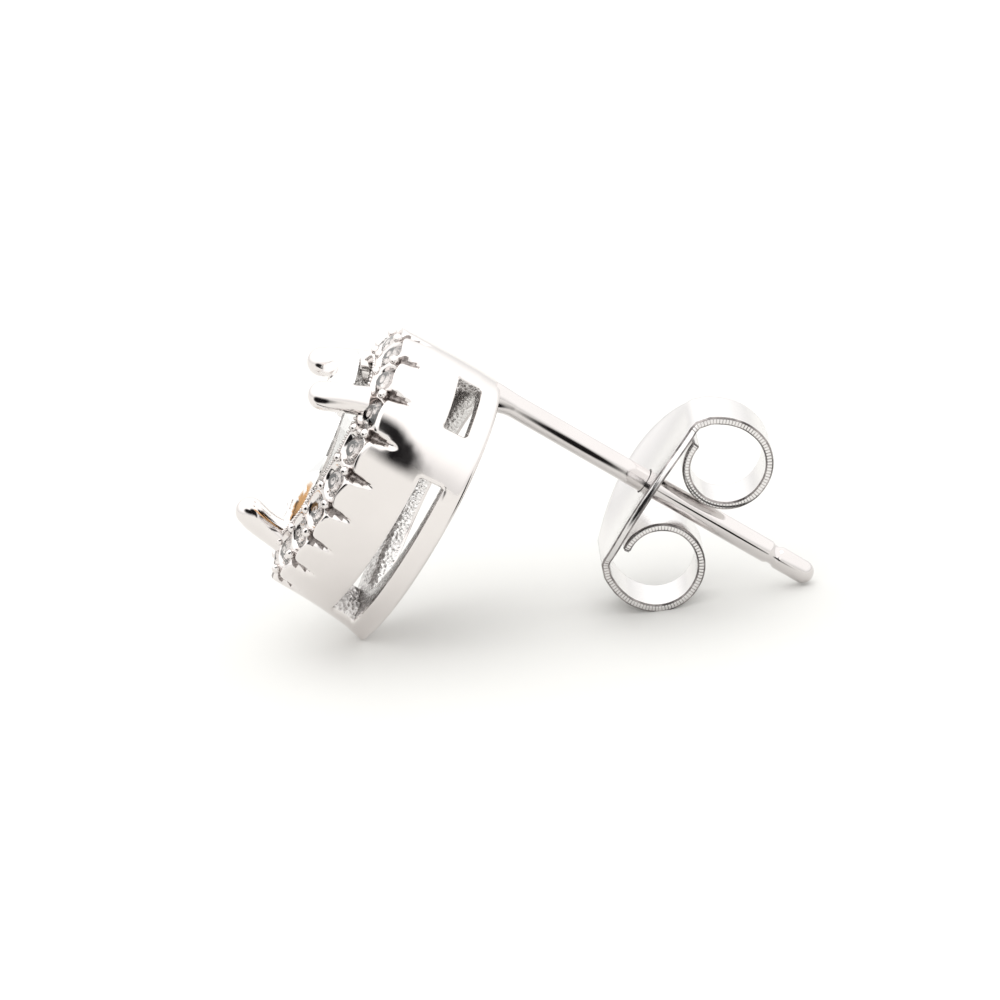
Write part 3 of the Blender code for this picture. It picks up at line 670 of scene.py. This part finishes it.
def drawn_wire():
    """Plated wire of the post, with fine marks that run along it."""
    material, tree, shader, where = new_metal("drawn_wire")
    along = tree.nodes.new("ShaderNodeMapping")
    along.vector_type = "TEXTURE"
    along.inputs["Rotation"].default_value = (0.0, post_tilt(), 0.0)
    along.inputs["Scale"].default_value = (8.0, 1.0, 1.0)
    tree.links.new(where, along.inputs["Vector"])
    marks = noise_node(tree, along.outputs["Vector"], 9000.0, 3.0)
    add_roughness(tree, shader, marks.outputs["Fac"], 0.03, 0.13)
    tone = noise_node(tree, where, 600.0, 2.0)
    add_tones(tree, shader, tone.outputs["Fac"], WIRE_TONES)
    add_relief(tree, shader, marks.outputs["Fac"], 0.10, 0.01 * MM)
    return material


def stamped_strip():
    """Thin plated strip of the clutch, with faint rolling and handling marks."""
    material, tree, shader, where = new_metal("stamped_strip")
    rolled = tree.nodes.new("ShaderNodeMapping")
    rolled.inputs["Scale"].default_value = (1.0, 9.0, 1.0)
    tree.links.new(where, rolled.inputs["Vector"])
    marks = noise_node(tree, rolled.outputs["Vector"], 2400.0, 6.0, 0.7)
    add_roughness(tree, shader, marks.outputs["Fac"], 0.05, 0.20)
    add_tones(tree, shader, marks.outputs["Fac"], STRIP_TONES)
    add_relief(tree, shader, marks.outputs["Fac"], 0.14, 0.03 * MM)
    return material


def sheared_shaded_edge(name, tones):
    """Duller metal of the strip's cut edges and of the marks across them, darkened further with
    painted shade so that their outlines show.
    """
    material, tree, shader, where = new_metal(name)
    patches = noise_node(tree, where, 1500.0, 4.0, 0.7)
    add_tones(tree, shader, patches.outputs["Fac"], tones, 0.38, 0.66)
    shader.inputs["Roughness"].default_value = 0.25
    return material


def clear_stone(name, tint):
    """Colourless cut stone with a high refraction and faint polishing lines. Its grey tint is painted
    shade for the dark reflections in its facets.
    """
    material, tree, shader = new_material(name)
    shader.inputs["Base Color"].default_value = (*tint, 1.0)
    shader.inputs["Transmission Weight"].default_value = 1.0
    shader.inputs["IOR"].default_value = STONE_REFRACTION
    where = tree.nodes.new("ShaderNodeTexCoord").outputs["Object"]
    lines = noise_node(tree, where, 5000.0, 3.0)
    add_roughness(tree, shader, lines.outputs["Fac"], 0.0, 0.02)
    return material


def wall_sections():
    """Rows of the ring's section, as (offset, depth, flare, front share).

    They run up the outside of the wall, over the halo face and back inside. The
    front share says how far a row's stations follow the scallops.
    """
    rows = []
    for depth_mm in OUTSIDE_ROWS:
        depth = depth_mm * MM
        share = min(1.0, max(0.0, (depth_mm - 1.49) / 0.51))
        rows.append((WALL_OFFSET, depth, depth, share))
    rows.append((WALL_OFFSET - 0.025 * MM, WALL_DEPTH + 0.035 * MM, WALL_DEPTH, 1.0))
    for offset_mm in HALO_ROWS:
        offset = offset_mm * MM
        rows.append((offset, WALL_DEPTH + HALO_SLOPE * (WALL_OFFSET - offset), WALL_DEPTH, 1.0))
    lip = WALL_DEPTH + HALO_RISE
    rows += [
        (0.06 * MM, lip - 0.01 * MM, WALL_DEPTH, 1.0),
        (-0.02 * MM, lip - 0.07 * MM, WALL_DEPTH, 1.0),
        (THROAT_OFFSET + 0.04 * MM, THROAT_FRONT, WALL_DEPTH, 1.0),
        (THROAT_OFFSET, THROAT_FRONT - 0.08 * MM, WALL_DEPTH, 1.0),
        (THROAT_OFFSET, THROAT_BACK + 0.06 * MM, WALL_DEPTH, 1.0),
        (THROAT_OFFSET + 0.05 * MM, THROAT_BACK - 0.03 * MM, WALL_DEPTH, 1.0),
        (0.30 * MM, 2.88 * MM, WALL_DEPTH, 0.8),
        (WALL_INSIDE - 0.08 * MM, UNDERSIDE + 0.05 * MM, WALL_DEPTH, 0.6),
        (WALL_INSIDE, UNDERSIDE - 0.08 * MM, WALL_DEPTH, 0.4),
    ]
    for depth_mm in INSIDE_ROWS:
        depth = depth_mm * MM
        rows.append((WALL_INSIDE, depth, (WALL_DEPTH + depth) / 2, 0.0))
    rows += [
        (BACK_RIM_OFFSET + 0.05 * MM, BACK_RIM_DEPTH, WALL_DEPTH, 0.0),
        (BACK_RIM_OFFSET, BACK_RIM_DEPTH - 0.06 * MM, WALL_DEPTH, 0.0),
        (BACK_RIM_OFFSET, 0.06 * MM, WALL_DEPTH, 0.0),
        (BACK_RIM_OFFSET + 0.06 * MM, 0.0, WALL_DEPTH, 0.0),
        (WALL_OFFSET - 0.10 * MM, 0.0, 0.0, 0.0),
    ]
    return rows


def station_shares():
    """Two share lists round the outline: one for the scallops, one for the windows."""
    per_scallop = len(SCALLOP_STATIONS)
    count = SCALLOPS * per_scallop
    scallop = [(i // per_scallop + SCALLOP_STATIONS[i % per_scallop]) / SCALLOPS for i in range(count)]
    ends = [LONG_WINDOW_START] + [share_from_top(angle) for angle in WINDOW_ANGLES]
    marks = [0] + [round(end * count) for end in ends] + [count // 2]
    places = [0.0] + ends + [0.5]
    window = []
    for i in range(count):
        half = i if i <= count // 2 else count - i
        share = float(np.interp(half, marks, places))
        window.append(share if i <= count // 2 else 1.0 - share)
    return scallop, window, marks


def rim_dip(share, offset, depth):
    """How far the rim's edge falls back between two lobes."""
    side = abs((share * SCALLOPS) % 1.0 - 0.5) * 2
    near = 1.0 - (WALL_OFFSET - offset) / DIP_ACROSS
    if depth <= WALL_DEPTH:
        near = 1.0 - (WALL_DEPTH - depth) / DIP_ALONG
    return RIM_DIP * max(0.0, near) * (1.0 - side) ** 1.6


def notch_cut(share, depth):
    """How deep the notches and the lobes' rounding cut the wall at one place."""
    pitch = RIM_LENGTH / SCALLOPS
    side = abs((share * SCALLOPS) % 1.0 - 0.5) * pitch
    along = (depth - (WALL_DEPTH - NOTCH_LENGTH)) / NOTCH_LENGTH
    if along <= 0.0:
        return 0.0
    along = min(1.0, along)
    width = NOTCH_HALF_WIDTH * (0.30 + 0.70 * along ** 0.9)
    cut = 0.0
    if side < width:
        cut = NOTCH_DEPTH * (0.45 + 0.55 * along) * math.sqrt(1.0 - (side / width) ** 2)
        cut *= min(1.0, along / NOTCH_FADE)
    lobe = (1.0 - side / (pitch / 2)) ** 2
    return cut + LOBE_SWELL * along * lobe


def row_at(rows, offset, depth):
    """Number of the section's row at an offset and a depth."""
    return next(j for j, row in enumerate(rows) if row[0] == offset and row[1] == depth)


def row_under(rows, offset):
    """Number of the section's first row that lies within an offset."""
    return next(j for j, row in enumerate(rows) if row[0] < offset)


def into_pit(point, pit):
    """A point of the halo face, sunk into the round pit of a halo stone."""
    local = pit.inverted() @ point
    reach = math.hypot(local.x, local.y) / PIT_RADIUS
    if reach >= 1.0:
        return point
    local.z -= PIT_DEPTH * (1.0 - reach ** 2) ** 0.6
    return pit @ local


def build_gallery(finish_metals):
    """The pierced wall, halo rim and back rim as one smooth ring.

    The metals are those of its outside, its inside, the notches (worn, with painted
    shade) and the back rim's inner edge.
    """
    rows = wall_sections()
    scallop, window, marks = station_shares()
    count = len(scallop)
    columns = len(rows)
    middle = (WALL_OFFSET + HALO_INNER_OFFSET) / 2
    pits = [rim_frame(k / SCALLOPS, middle) for k in range(SCALLOPS)]
    halo_end = row_under(rows, HALO_INNER_OFFSET)
    points = []
    for i in range(count):
        for j, (offset, depth, flare, front) in enumerate(rows):
            share = window[i] + (scallop[i] - window[i]) * front
            flare_share = 1.0 - flare / WALL_DEPTH
            cut = notch_cut(share, depth) if offset > WALL_OFFSET - NOTCH_REACH else 0.0
            dip = rim_dip(share, offset, depth) if j < halo_end else 0.0
            point = head_point(share, offset - cut, depth - dip, flare_share)
            if depth > WALL_DEPTH and 0.0 < offset < WALL_OFFSET - 0.05 * MM:
                point = into_pit(point, pits[round(share * SCALLOPS) % SCALLOPS])
            points.append(point)
    outer_back = row_at(rows, WALL_OFFSET, WINDOW_BACK)
    outer_front = row_at(rows, WALL_OFFSET, WINDOW_FRONT)
    inner_front = row_at(rows, WALL_INSIDE, WINDOW_FRONT)
    inner_back = row_at(rows, WALL_INSIDE, WINDOW_BACK)
    spans = [(marks[1], marks[2]), (marks[3], marks[4])]
    spans += [(count - end, count - start) for start, end in spans]
    faces, finishes = [], []
    inside_from = row_under(rows, THROAT_OFFSET + 0.05 * MM)
    wall_end = row_under(rows, WALL_OFFSET - NOTCH_REACH)
    rim_edge = row_at(rows, BACK_RIM_OFFSET, BACK_RIM_DEPTH - 0.06 * MM)
    for i in range(count):
        k = (i + 1) % count
        open_here = any(start <= i < end for start, end in spans)
        for j in range(columns):
            m = (j + 1) % columns
            if open_here and (outer_back <= j < outer_front or inner_front <= j < inner_back):
                continue
            faces.append((i * columns + j, k * columns + j, k * columns + m, i * columns + m))
            # Faces round the middle of each notch get the worn notch metal with its painted shade
            side = abs(((scallop[i] + scallop[k]) / 2 * SCALLOPS) % 1.0 - 0.5)
            along = 1.0 - (WALL_DEPTH - rows[j][1]) / NOTCH_LENGTH
            worn_and_shaded_here = side < NOTCH_WEAR_SHADE_FOOT + NOTCH_WEAR_SHADE_SPREAD * along
            if worn_and_shaded_here and along > NOTCH_WEAR_SHADE_START and j < wall_end:
                finishes.append(WORN_SHADED_NOTCH)
            elif j == rim_edge:
                finishes.append(RIM_EDGE)
            else:
                finishes.append(INSIDE if inside_from <= j < rim_edge else OUTSIDE)
        if open_here:
            for a, b in ((outer_back, inner_back), (outer_front, inner_front)):
                faces.append((i * columns + a, k * columns + a, k * columns + b, i * columns + b))
                finishes.append(INSIDE)
    for start, end in spans:
        for i in (start, end):
            for step in range(outer_front - outer_back):
                a = i * columns + outer_back + step
                b = i * columns + inner_back - step
                faces.append((a, a + 1, b - 1, b))
                finishes.append(INSIDE)
    cage = mesh_of("gallery", points, faces, finishes)
    smooth = {"levels": 1, "render_levels": 1}
    ring = with_modifiers(cage, ("SUBSURF", smooth))
    return finished_piece("gallery_ring", ring, HEAD, finish_metals, 50.0)


def prong_mesh(foot, top, bow):
    """A claw from its foot on the rim to its round end, bowed outwards."""
    length = (top - foot).length
    rows = []
    for row in PRONG_PATH:
        rows.append((row["along"] * length, PRONG_RADIUS * row["width"]))
    for degrees in (0, 16, 32, 47, 60, 72, 82):
        angle = math.radians(degrees)
        rows.append((length + PRONG_RADIUS * math.sin(angle), PRONG_RADIUS * math.cos(angle)))
    sides = 24
    points = []
    for height, radius in rows:
        bend = bow * math.sin(math.pi * min(1.0, height / length))
        for k in range(sides):
            angle = 2 * math.pi * k / sides
            points.append((bend + radius * math.cos(angle), radius * math.sin(angle), height))
    return mesh_of("prong", points, tube_faces(len(rows), sides))


def build_prongs(metal):
    foot_depth = WALL_DEPTH + PRONG_FOOT_RISE
    top_depth = -GIRDLE_X + CROWN + PRONG_ABOVE_TABLE - PRONG_RADIUS
    side_share = share_from_top(90.0 - PRONG_ANGLE)
    leans = (
        (side_share, -PRONG_LEAN_IN, -PRONG_LEAN_DOWN),
        (1.0 - side_share, PRONG_LEAN_IN, -PRONG_LEAN_DOWN),
        (0.0, 0.0, PRONG_LEAN_UP),
    )
    placed = []
    for share, lean_y, lean_z in leans:
        foot = head_point(share, PRONG_FOOT_OFFSET, foot_depth)
        top = Vector((-top_depth, foot.y + lean_y, foot.z + lean_z))
        rise = (top - foot).normalized()
        normal = pear_point(share, 0.0)[1]
        outward = Vector((0.0, normal[0], normal[1]))
        sideways = rise.cross(outward).normalized()
        outward = sideways.cross(rise)
        matrix = Matrix((outward, sideways, rise)).transposed().to_4x4()
        matrix.translation = foot
        placed.append((prong_mesh(foot, top, PRONG_BOW), matrix))
    return finished_piece("claw_prongs", joined("prongs", placed), HEAD, [metal], 60.0)


def build_rim_beads(metal):
    """Beads between the halo stones, one near each edge of the halo face."""
    ball = bpy.data.meshes.new("bead")
    work = bmesh.new()
    bmesh.ops.create_icosphere(work, subdivisions=3, radius=BEAD_RADIUS)
    work.to_mesh(ball)
    work.free()
    places = []
    for k in range(SCALLOPS):
        share = (k + 0.5) / SCALLOPS
        places.append(rim_frame(share, WALL_OFFSET - BEAD_OUTER_INSET))
        places.append(rim_frame(share, HALO_INNER_OFFSET + BEAD_INNER_INSET))
    beads = copies_at(ball, places, metal)
    return finished_piece("rim_beads", beads, HEAD, [metal], 180.0)


def build_grain_line(metal):
    """The fine row of grains between the centre stone's seat and the halo."""
    steps = 180
    line = [head_point(i / steps, GRAINS_OFFSET, WALL_DEPTH + HALO_RISE) for i in range(steps)]
    carrier = bpy.data.meshes.new("grain_line")
    edges = [(i, (i + 1) % steps) for i in range(steps)]
    carrier.from_pydata([tuple(point) for point in line], edges, [])
    grains = grown_by_nodes(carrier, grain_line_tree(), {"Finish": metal})
    return finished_piece("seat_grains", grains, HEAD, [metal], 180.0)


def cut_stone(name, outline, crown, girdle, pavilion, table):
    """A brilliant cut over an outline(share, scale), with its girdle's top at Z = 0."""
    mains = 8
    fine = 32
    between = (table + 1.0) / 2 + 0.02
    below = -girdle - pavilion * 0.80
    rows = [
        [(*outline(i / mains, table), crown) for i in range(mains)],
        [(*outline((i + 0.5) / mains, between), crown * 0.46) for i in range(mains)],
        [(*outline(i / fine, 1.0), 0.0) for i in range(fine)],
        [(*outline(i / fine, 1.0), -girdle) for i in range(fine)],
        [(*outline((i + 0.5) / mains, 0.24), below) for i in range(mains)],
        [(*outline(0.25, 0.0), -girdle - pavilion)],
    ]
    points = [point for row in rows for point in row]
    starts = [sum(len(row) for row in rows[:i]) for i in range(len(rows))]
    table_row, middle_row, top_row, low_row, deep_row, culet = starts
    step = fine // mains
    faces = [tuple(table_row + i for i in range(mains))]
    for i in range(mains):
        k = (i + 1) % mains
        faces.append((table_row + i, table_row + k, middle_row + i))
        corner = top_row + i * step
        before = middle_row + (i - 1) % mains
        faces.append((table_row + i, before, corner, middle_row + i))
        under = low_row + i * step
        faces.append((culet, deep_row + (i - 1) % mains, under, deep_row + i))
        for j in range(step):
            a, b = i * step + j, (i * step + j + 1) % fine
            faces.append((middle_row + i, top_row + a, top_row + b))
            faces.append((deep_row + i, low_row + a, low_row + b))
    for i in range(fine):
        k = (i + 1) % fine
        faces.append((top_row + i, low_row + i, low_row + k, top_row + k))
    return mesh_of(name, points, faces)


def build_centre_stone(material):
    """The pear brilliant, turned so that its table faces the front."""
    def outline(share, scale):
        (y, z), normal = pear_point(share, 0.0)
        return y * scale, STONE_MIDDLE + (z - STONE_MIDDLE) * scale

    stone = cut_stone("pear_stone", outline, CROWN, GIRDLE, PAVILION, TABLE_SHARE)
    to_front = Matrix(((0.0, 0.0, -1.0, GIRDLE_X), (1.0, 0.0, 0.0, 0.0),
                       (0.0, 1.0, 0.0, -ROUND_DROP), (0.0, 0.0, 0.0, 1.0)))
    middle = Matrix.Translation((GIRDLE_X, 0.0, STONE_MIDDLE - ROUND_DROP))
    tilt = middle @ Matrix.Rotation(-STONE_TILT, 4, "Y") @ middle.inverted()
    return finished_piece("pear_stone", stone, HEAD @ tilt @ to_front, [material])


def build_halo_stones(material):
    """A round brilliant in each scallop, sunk a little into its pit."""
    def outline(share, scale):
        angle = 2 * math.pi * share
        radius = HALO_STONE_RADIUS * scale
        return radius * math.cos(angle), radius * math.sin(angle)

    stone = cut_stone("halo_stone", outline, HALO_STONE_CROWN, HALO_STONE_GIRDLE,
                      HALO_STONE_PAVILION, HALO_TABLE_SHARE)
    middle = (WALL_OFFSET + HALO_INNER_OFFSET) / 2
    sink = Matrix.Translation((0.0, 0.0, -HALO_STONE_SINK))
    places = [rim_frame(k / SCALLOPS, middle) @ sink for k in range(SCALLOPS)]
    return finished_piece("halo_stones", copies_at(stone, places, material), HEAD, [material])


def build_post(metal):
    """The ear post with its round end, groove and the solder at its foot."""
    def solder(angle, height):
        if height > SOLDER_LENGTH:
            return 0.0
        under = max(0.0, math.cos(angle)) ** 1.2
        rise = 1.0 - max(0.0, height) / SOLDER_LENGTH
        return SOLDER_SWELL * under * rise ** 2.3 + 0.03 * MM * rise

    groove = POST_LENGTH - GROOVE_FROM_TIP
    profile = []
    for degrees in (86, 72, 58, 44, 30, 15, 0):
        angle = math.radians(degrees)
        height = POST_LENGTH - POST_RADIUS * (1.0 - math.sin(angle))
        profile.append((POST_RADIUS * math.cos(angle), height))
    for share, cut in ((0.62, 0.0), (0.50, 0.10), (0.36, 0.55), (0.20, 0.95), (0.0, 1.0),
                       (-0.20, 0.95), (-0.36, 0.55), (-0.50, 0.10), (-0.62, 0.0)):
        profile.append((POST_RADIUS - GROOVE_DEPTH * cut, groove + GROOVE_WIDTH * share))
    for share in (0.9, 0.7, 0.5, 0.3, 0.15):
        profile.append((POST_RADIUS, SOLDER_LENGTH + (groove - SOLDER_LENGTH) * share))
    for share in (1.0, 0.85, 0.7, 0.55, 0.4, 0.28, 0.16, 0.06, -0.1, -0.35):
        profile.append((POST_RADIUS, SOLDER_LENGTH * share))
    wire = turned_mesh("post", profile, 48, solder)
    wire.transform(Matrix.Rotation(math.pi / 2 + POST_LEAN, 4, "Y"))
    return finished_piece("ear_post", wire, HEAD, [metal], 50.0)


def strip_line(step_degrees):
    """(X, Z, half width) along the upper half of the clutch's strip."""
    line = []
    for share in np.linspace(0.0, 1.0, PLATE_STATIONS):
        oval = math.sqrt(1.0 - (share * PLATE_OVAL) ** 2)
        line.append((0.0, PLATE_REACH * share, PLATE_HALF_WIDTH * oval))
    line.append((0.05 * MM, PLATE_REACH + 0.17 * MM, STRIP_HALF_WIDTH * 1.36))
    angles = [-row["angle"] for row in SCROLL_PATH]
    radii = [row["radius"] for row in SCROLL_PATH]
    widths = [row["width"] for row in SCROLL_PATH]
    steps = round((angles[-1] - angles[0]) / step_degrees)
    for i in range(steps + 1):
        angle = angles[0] + (angles[-1] - angles[0]) * i / steps
        radius = SCROLL_RADIUS * float(np.interp(angle, angles, radii))
        width = STRIP_HALF_WIDTH * float(np.interp(angle, angles, widths))
        x = SCROLL_BACK + radius * math.cos(math.radians(-angle))
        z = SCROLL_UP + radius * math.sin(math.radians(-angle))
        line.append((x, z, width))
    return line


def build_clutch_strip(metal, shaded_edge_metal):
    """Plate and both scrolls as one strip with rounded, duller edges that carry painted shade."""
    half = strip_line(5.0)
    line = [(x, -z, width) for x, z, width in reversed(half[1:])] + half
    columns = 16
    points = []
    for x, z, width in line:
        for j in range(columns + 1):
            across = 2.0 * j / columns - 1.0
            flat = max(0.0, 1.0 - (abs(z) / PLATE_REACH) ** 2) if x == 0.0 else 0.0
            points.append((x - PLATE_DISH * flat * across * across, width * across, z))
    row = columns + 1
    faces = []
    for i in range(len(line) - 1):
        for j in range(columns):
            a = i * row + j
            faces.append((a, a + 1, a + 1 + row, a + row))
    sheet = mesh_of("strip", points, faces)
    sheet.materials.append(metal)
    sheet.materials.append(shaded_edge_metal)
    wall = {"thickness": STRIP_THICKNESS, "offset": 0.0, "use_even_offset": True}
    closed = with_modifiers(sheet, ("SOLIDIFY", wall))
    ends = [(CLUTCH_HOLE_RADIUS, 1.5 * MM), (CLUTCH_HOLE_RADIUS, -1.5 * MM)]
    drill = turned_mesh("drill", ends, 40)
    drill.transform(Matrix.Rotation(math.pi / 2, 4, "Y"))
    cutter = linked("cutter", drill)
    hole = {"operation": "DIFFERENCE", "solver": "EXACT", "object": cutter}
    edge = {"width": EDGE_ROUNDING, "segments": 2, "limit_method": "ANGLE",
            "angle_limit": math.radians(50.0), "use_clamp_overlap": True,
            "harden_normals": False, "material": 1}
    strip = with_modifiers(closed, ("BEVEL", edge), ("BOOLEAN", hole))
    bpy.data.objects.remove(cutter)
    return finished_piece("clutch_strip", strip, CLUTCH, [metal, shaded_edge_metal], 40.0)


def build_clutch_ribs(metal):
    """Fine ribs left by the shears on both edges of each scroll, in a metal darkened with painted
    shade.
    """
    half = strip_line(4.0)[PLATE_STATIONS - 1:]
    placed = []
    for upper in (1.0, -1.0):
        for side in (1.0, -1.0):
            line = [(x, side * width, upper * z) for x, z, width in half]
            carrier = bpy.data.meshes.new("rib_line")
            carrier.from_pydata(line, [(i, i + 1) for i in range(len(line) - 1)], [])
            ribs = grown_by_nodes(carrier, ribs_tree(), {"Finish": metal})
            placed.append((ribs, Matrix.Identity(4)))
    return finished_piece("clutch_ribs", joined("ribs", placed), CLUTCH, [metal], 30.0)


def build_pieces():
    metal = polished_rhodium()
    inside = cast_inside("cast_inside", CAST_TONES)
    rim_inside = cast_inside("cast_rim", CAST_RIM_TONES)
    dull_and_shaded = worn_and_shaded_notch()
    wire = drawn_wire()
    strip = stamped_strip()
    sheared_shaded = sheared_shaded_edge("sheared_shaded_edge", EDGE_SHADE_TONES)
    ribbed_shaded = sheared_shaded_edge("shaded_shear_marks", RIB_SHADE_TONES)
    stone = clear_stone("clear_pear_stone", PEAR_STONE_SHADE_TINT)
    pave = clear_stone("clear_halo_stones", HALO_STONE_SHADE_TINT)
    setting = ("stud", "bright_rhodium", ["setting"])
    clutch = ("butterfly", "stamped_rhodium", ["clutch"])
    halo_nodes = ["halo_stone_%02d" % (k + 1) for k in range(SCALLOPS)]
    made = (
        (build_gallery([metal, inside, dull_and_shaded, rim_inside]), *setting),
        (build_prongs(metal), *setting),
        (build_rim_beads(metal), *setting),
        (build_grain_line(metal), *setting),
        (build_post(wire), *setting),
        (build_centre_stone(stone), "stud", "clear_stone", ["centre_stone"]),
        (build_halo_stones(pave), "stud", "clear_halo_stone", halo_nodes),
        (build_clutch_strip(strip, sheared_shaded), *clutch),
        (build_clutch_ribs(ribbed_shaded), *clutch),
    )
    for piece, rides, slot, nodes in made:
        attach(piece, rides)
        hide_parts(*nodes)


def add_floor():
    mesh = bpy.data.meshes.new("floor")
    size = FLOOR_HALF_SIZE
    corners = [(-size, -size, 0), (size, -size, 0), (size, size, 0), (-size, size, 0)]
    mesh.from_pydata(corners, [], [(0, 1, 2, 3)])
    floor = linked("floor", mesh)
    material, tree, shader = new_material("pale_floor")
    shader.inputs["Base Color"].default_value = (*FLOOR_COLOUR, 1.0)
    shader.inputs["Roughness"].default_value = 0.7
    shader.inputs["Specular IOR Level"].default_value = 0.1
    mesh.materials.append(material)


def add_softbox():
    light = bpy.data.lights.new("top_box", "AREA")
    light.shape = "RECTANGLE"
    light.size = BOX_SIZE
    light.size_y = BOX_SIZE
    light.energy = BOX_RADIANCE * math.pi * BOX_SIZE ** 2
    item = linked("top_box", light)
    item.location = BOX_PLACE
    aim = Vector(BOX_TARGET) - Vector(BOX_PLACE)
    item.rotation_euler = aim.to_track_quat("-Z", "Y").to_euler()


def feathered(name, tint, half_x, half_z):
    """A matt tone that fades out towards a card's edge."""
    material, tree, shader = new_material(name)
    shader.inputs["Base Color"].default_value = (*tint, 1.0)
    shader.inputs["Roughness"].default_value = 1.0
    shader.inputs["Specular IOR Level"].default_value = 0.0
    where = tree.nodes.new("ShaderNodeTexCoord").outputs["Object"]
    shrink = tree.nodes.new("ShaderNodeMapping")
    shrink.inputs["Scale"].default_value = (1.0 / half_x, 1.0, 1.0 / half_z)
    reach = tree.nodes.new("ShaderNodeVectorMath")
    reach.operation = "LENGTH"
    solid = tree.nodes.new("ShaderNodeMapRange")
    solid.interpolation_type = "SMOOTHSTEP"
    solid.inputs["From Min"].default_value = 1.0
    solid.inputs["From Max"].default_value = FLAG_SOLID_SHARE
    tree.links.new(where, shrink.inputs["Vector"])
    tree.links.new(shrink.outputs["Vector"], reach.inputs[0])
    tree.links.new(reach.outputs["Value"], solid.inputs["Value"])
    tree.links.new(solid.outputs["Result"], shader.inputs["Alpha"])
    return material


def add_flag(row):
    """A card that only reflections see, out from a point of the earring."""
    name = row["name"]
    direction = Vector(row["direction"])
    half_x, half_z = (half * MM for half in row["half_size"])
    roll = post_tilt() if row["roll"] == "post" else math.radians(row["roll"])
    mesh = bpy.data.meshes.new(name)
    corners = [(-half_x, 0, -half_z), (half_x, 0, -half_z), (half_x, 0, half_z), (-half_x, 0, half_z)]
    mesh.from_pydata(corners, [], [(0, 1, 2, 3)])
    mesh.materials.append(feathered(name, row["tint"], half_x, half_z))
    flag = linked(name, mesh)
    flag.location = Vector(row["point"]) * MM + direction.normalized() * row["distance"] * MM
    facing = (-direction).to_track_quat("Y", "Z").to_matrix()
    flag.rotation_euler = (facing @ Matrix.Rotation(roll, 3, "Y")).to_euler()
    flag.visible_camera = False
    flag.visible_diffuse = False
    flag.visible_shadow = False


def add_sky():
    world = bpy.data.worlds.new("studio")
    bpy.context.scene.world = world
    world.use_nodes = True
    tree = world.node_tree
    sky = tree.nodes["Background"]
    sky.inputs["Color"].default_value = (*SKY_COLOUR, 1.0)
    where = tree.nodes.new("ShaderNodeTexCoord").outputs["Generated"]
    split = tree.nodes.new("ShaderNodeSeparateXYZ")
    brighten = tree.nodes.new("ShaderNodeMapRange")
    brighten.interpolation_type = "SMOOTHSTEP"
    names = ("From Min", "From Max", "To Min", "To Max")
    for name, value in zip(names, SKY_HEIGHTS + SKY_STRENGTHS):
        brighten.inputs[name].default_value = value
    tree.links.new(where, split.inputs["Vector"])
    tree.links.new(split.outputs["Z"], brighten.inputs["Value"])
    tree.links.new(brighten.outputs["Result"], sky.inputs["Strength"])


def add_studio():
    add_floor()
    add_sky()
    add_softbox()
    for row in FLAGS:
        add_flag(row)


def add_camera():
    """The photograph's view: level with its roll, from 175 mm away."""
    scene = bpy.context.scene
    scene.view_settings.view_transform = "Standard"
    back = Vector(CAMERA_BACK).normalized()
    right = Vector(CAMERA_RIGHT)
    right = (right - back * right.dot(back)).normalized()
    up = back.cross(right)
    camera = bpy.data.cameras.new("camera")
    camera.sensor_width = 36.0
    camera.lens = camera.sensor_width * CAMERA_DISTANCE / VIEW_WIDTH
    camera.clip_start = 0.01
    camera.clip_end = 5.0
    item = linked("camera", camera)
    matrix = Matrix((right, up, back)).transposed().to_4x4()
    matrix.translation = Vector(CAMERA_AIM) + back * CAMERA_DISTANCE
    item.matrix_world = matrix
    scene.camera = item


build_pieces()
add_studio()
add_camera()
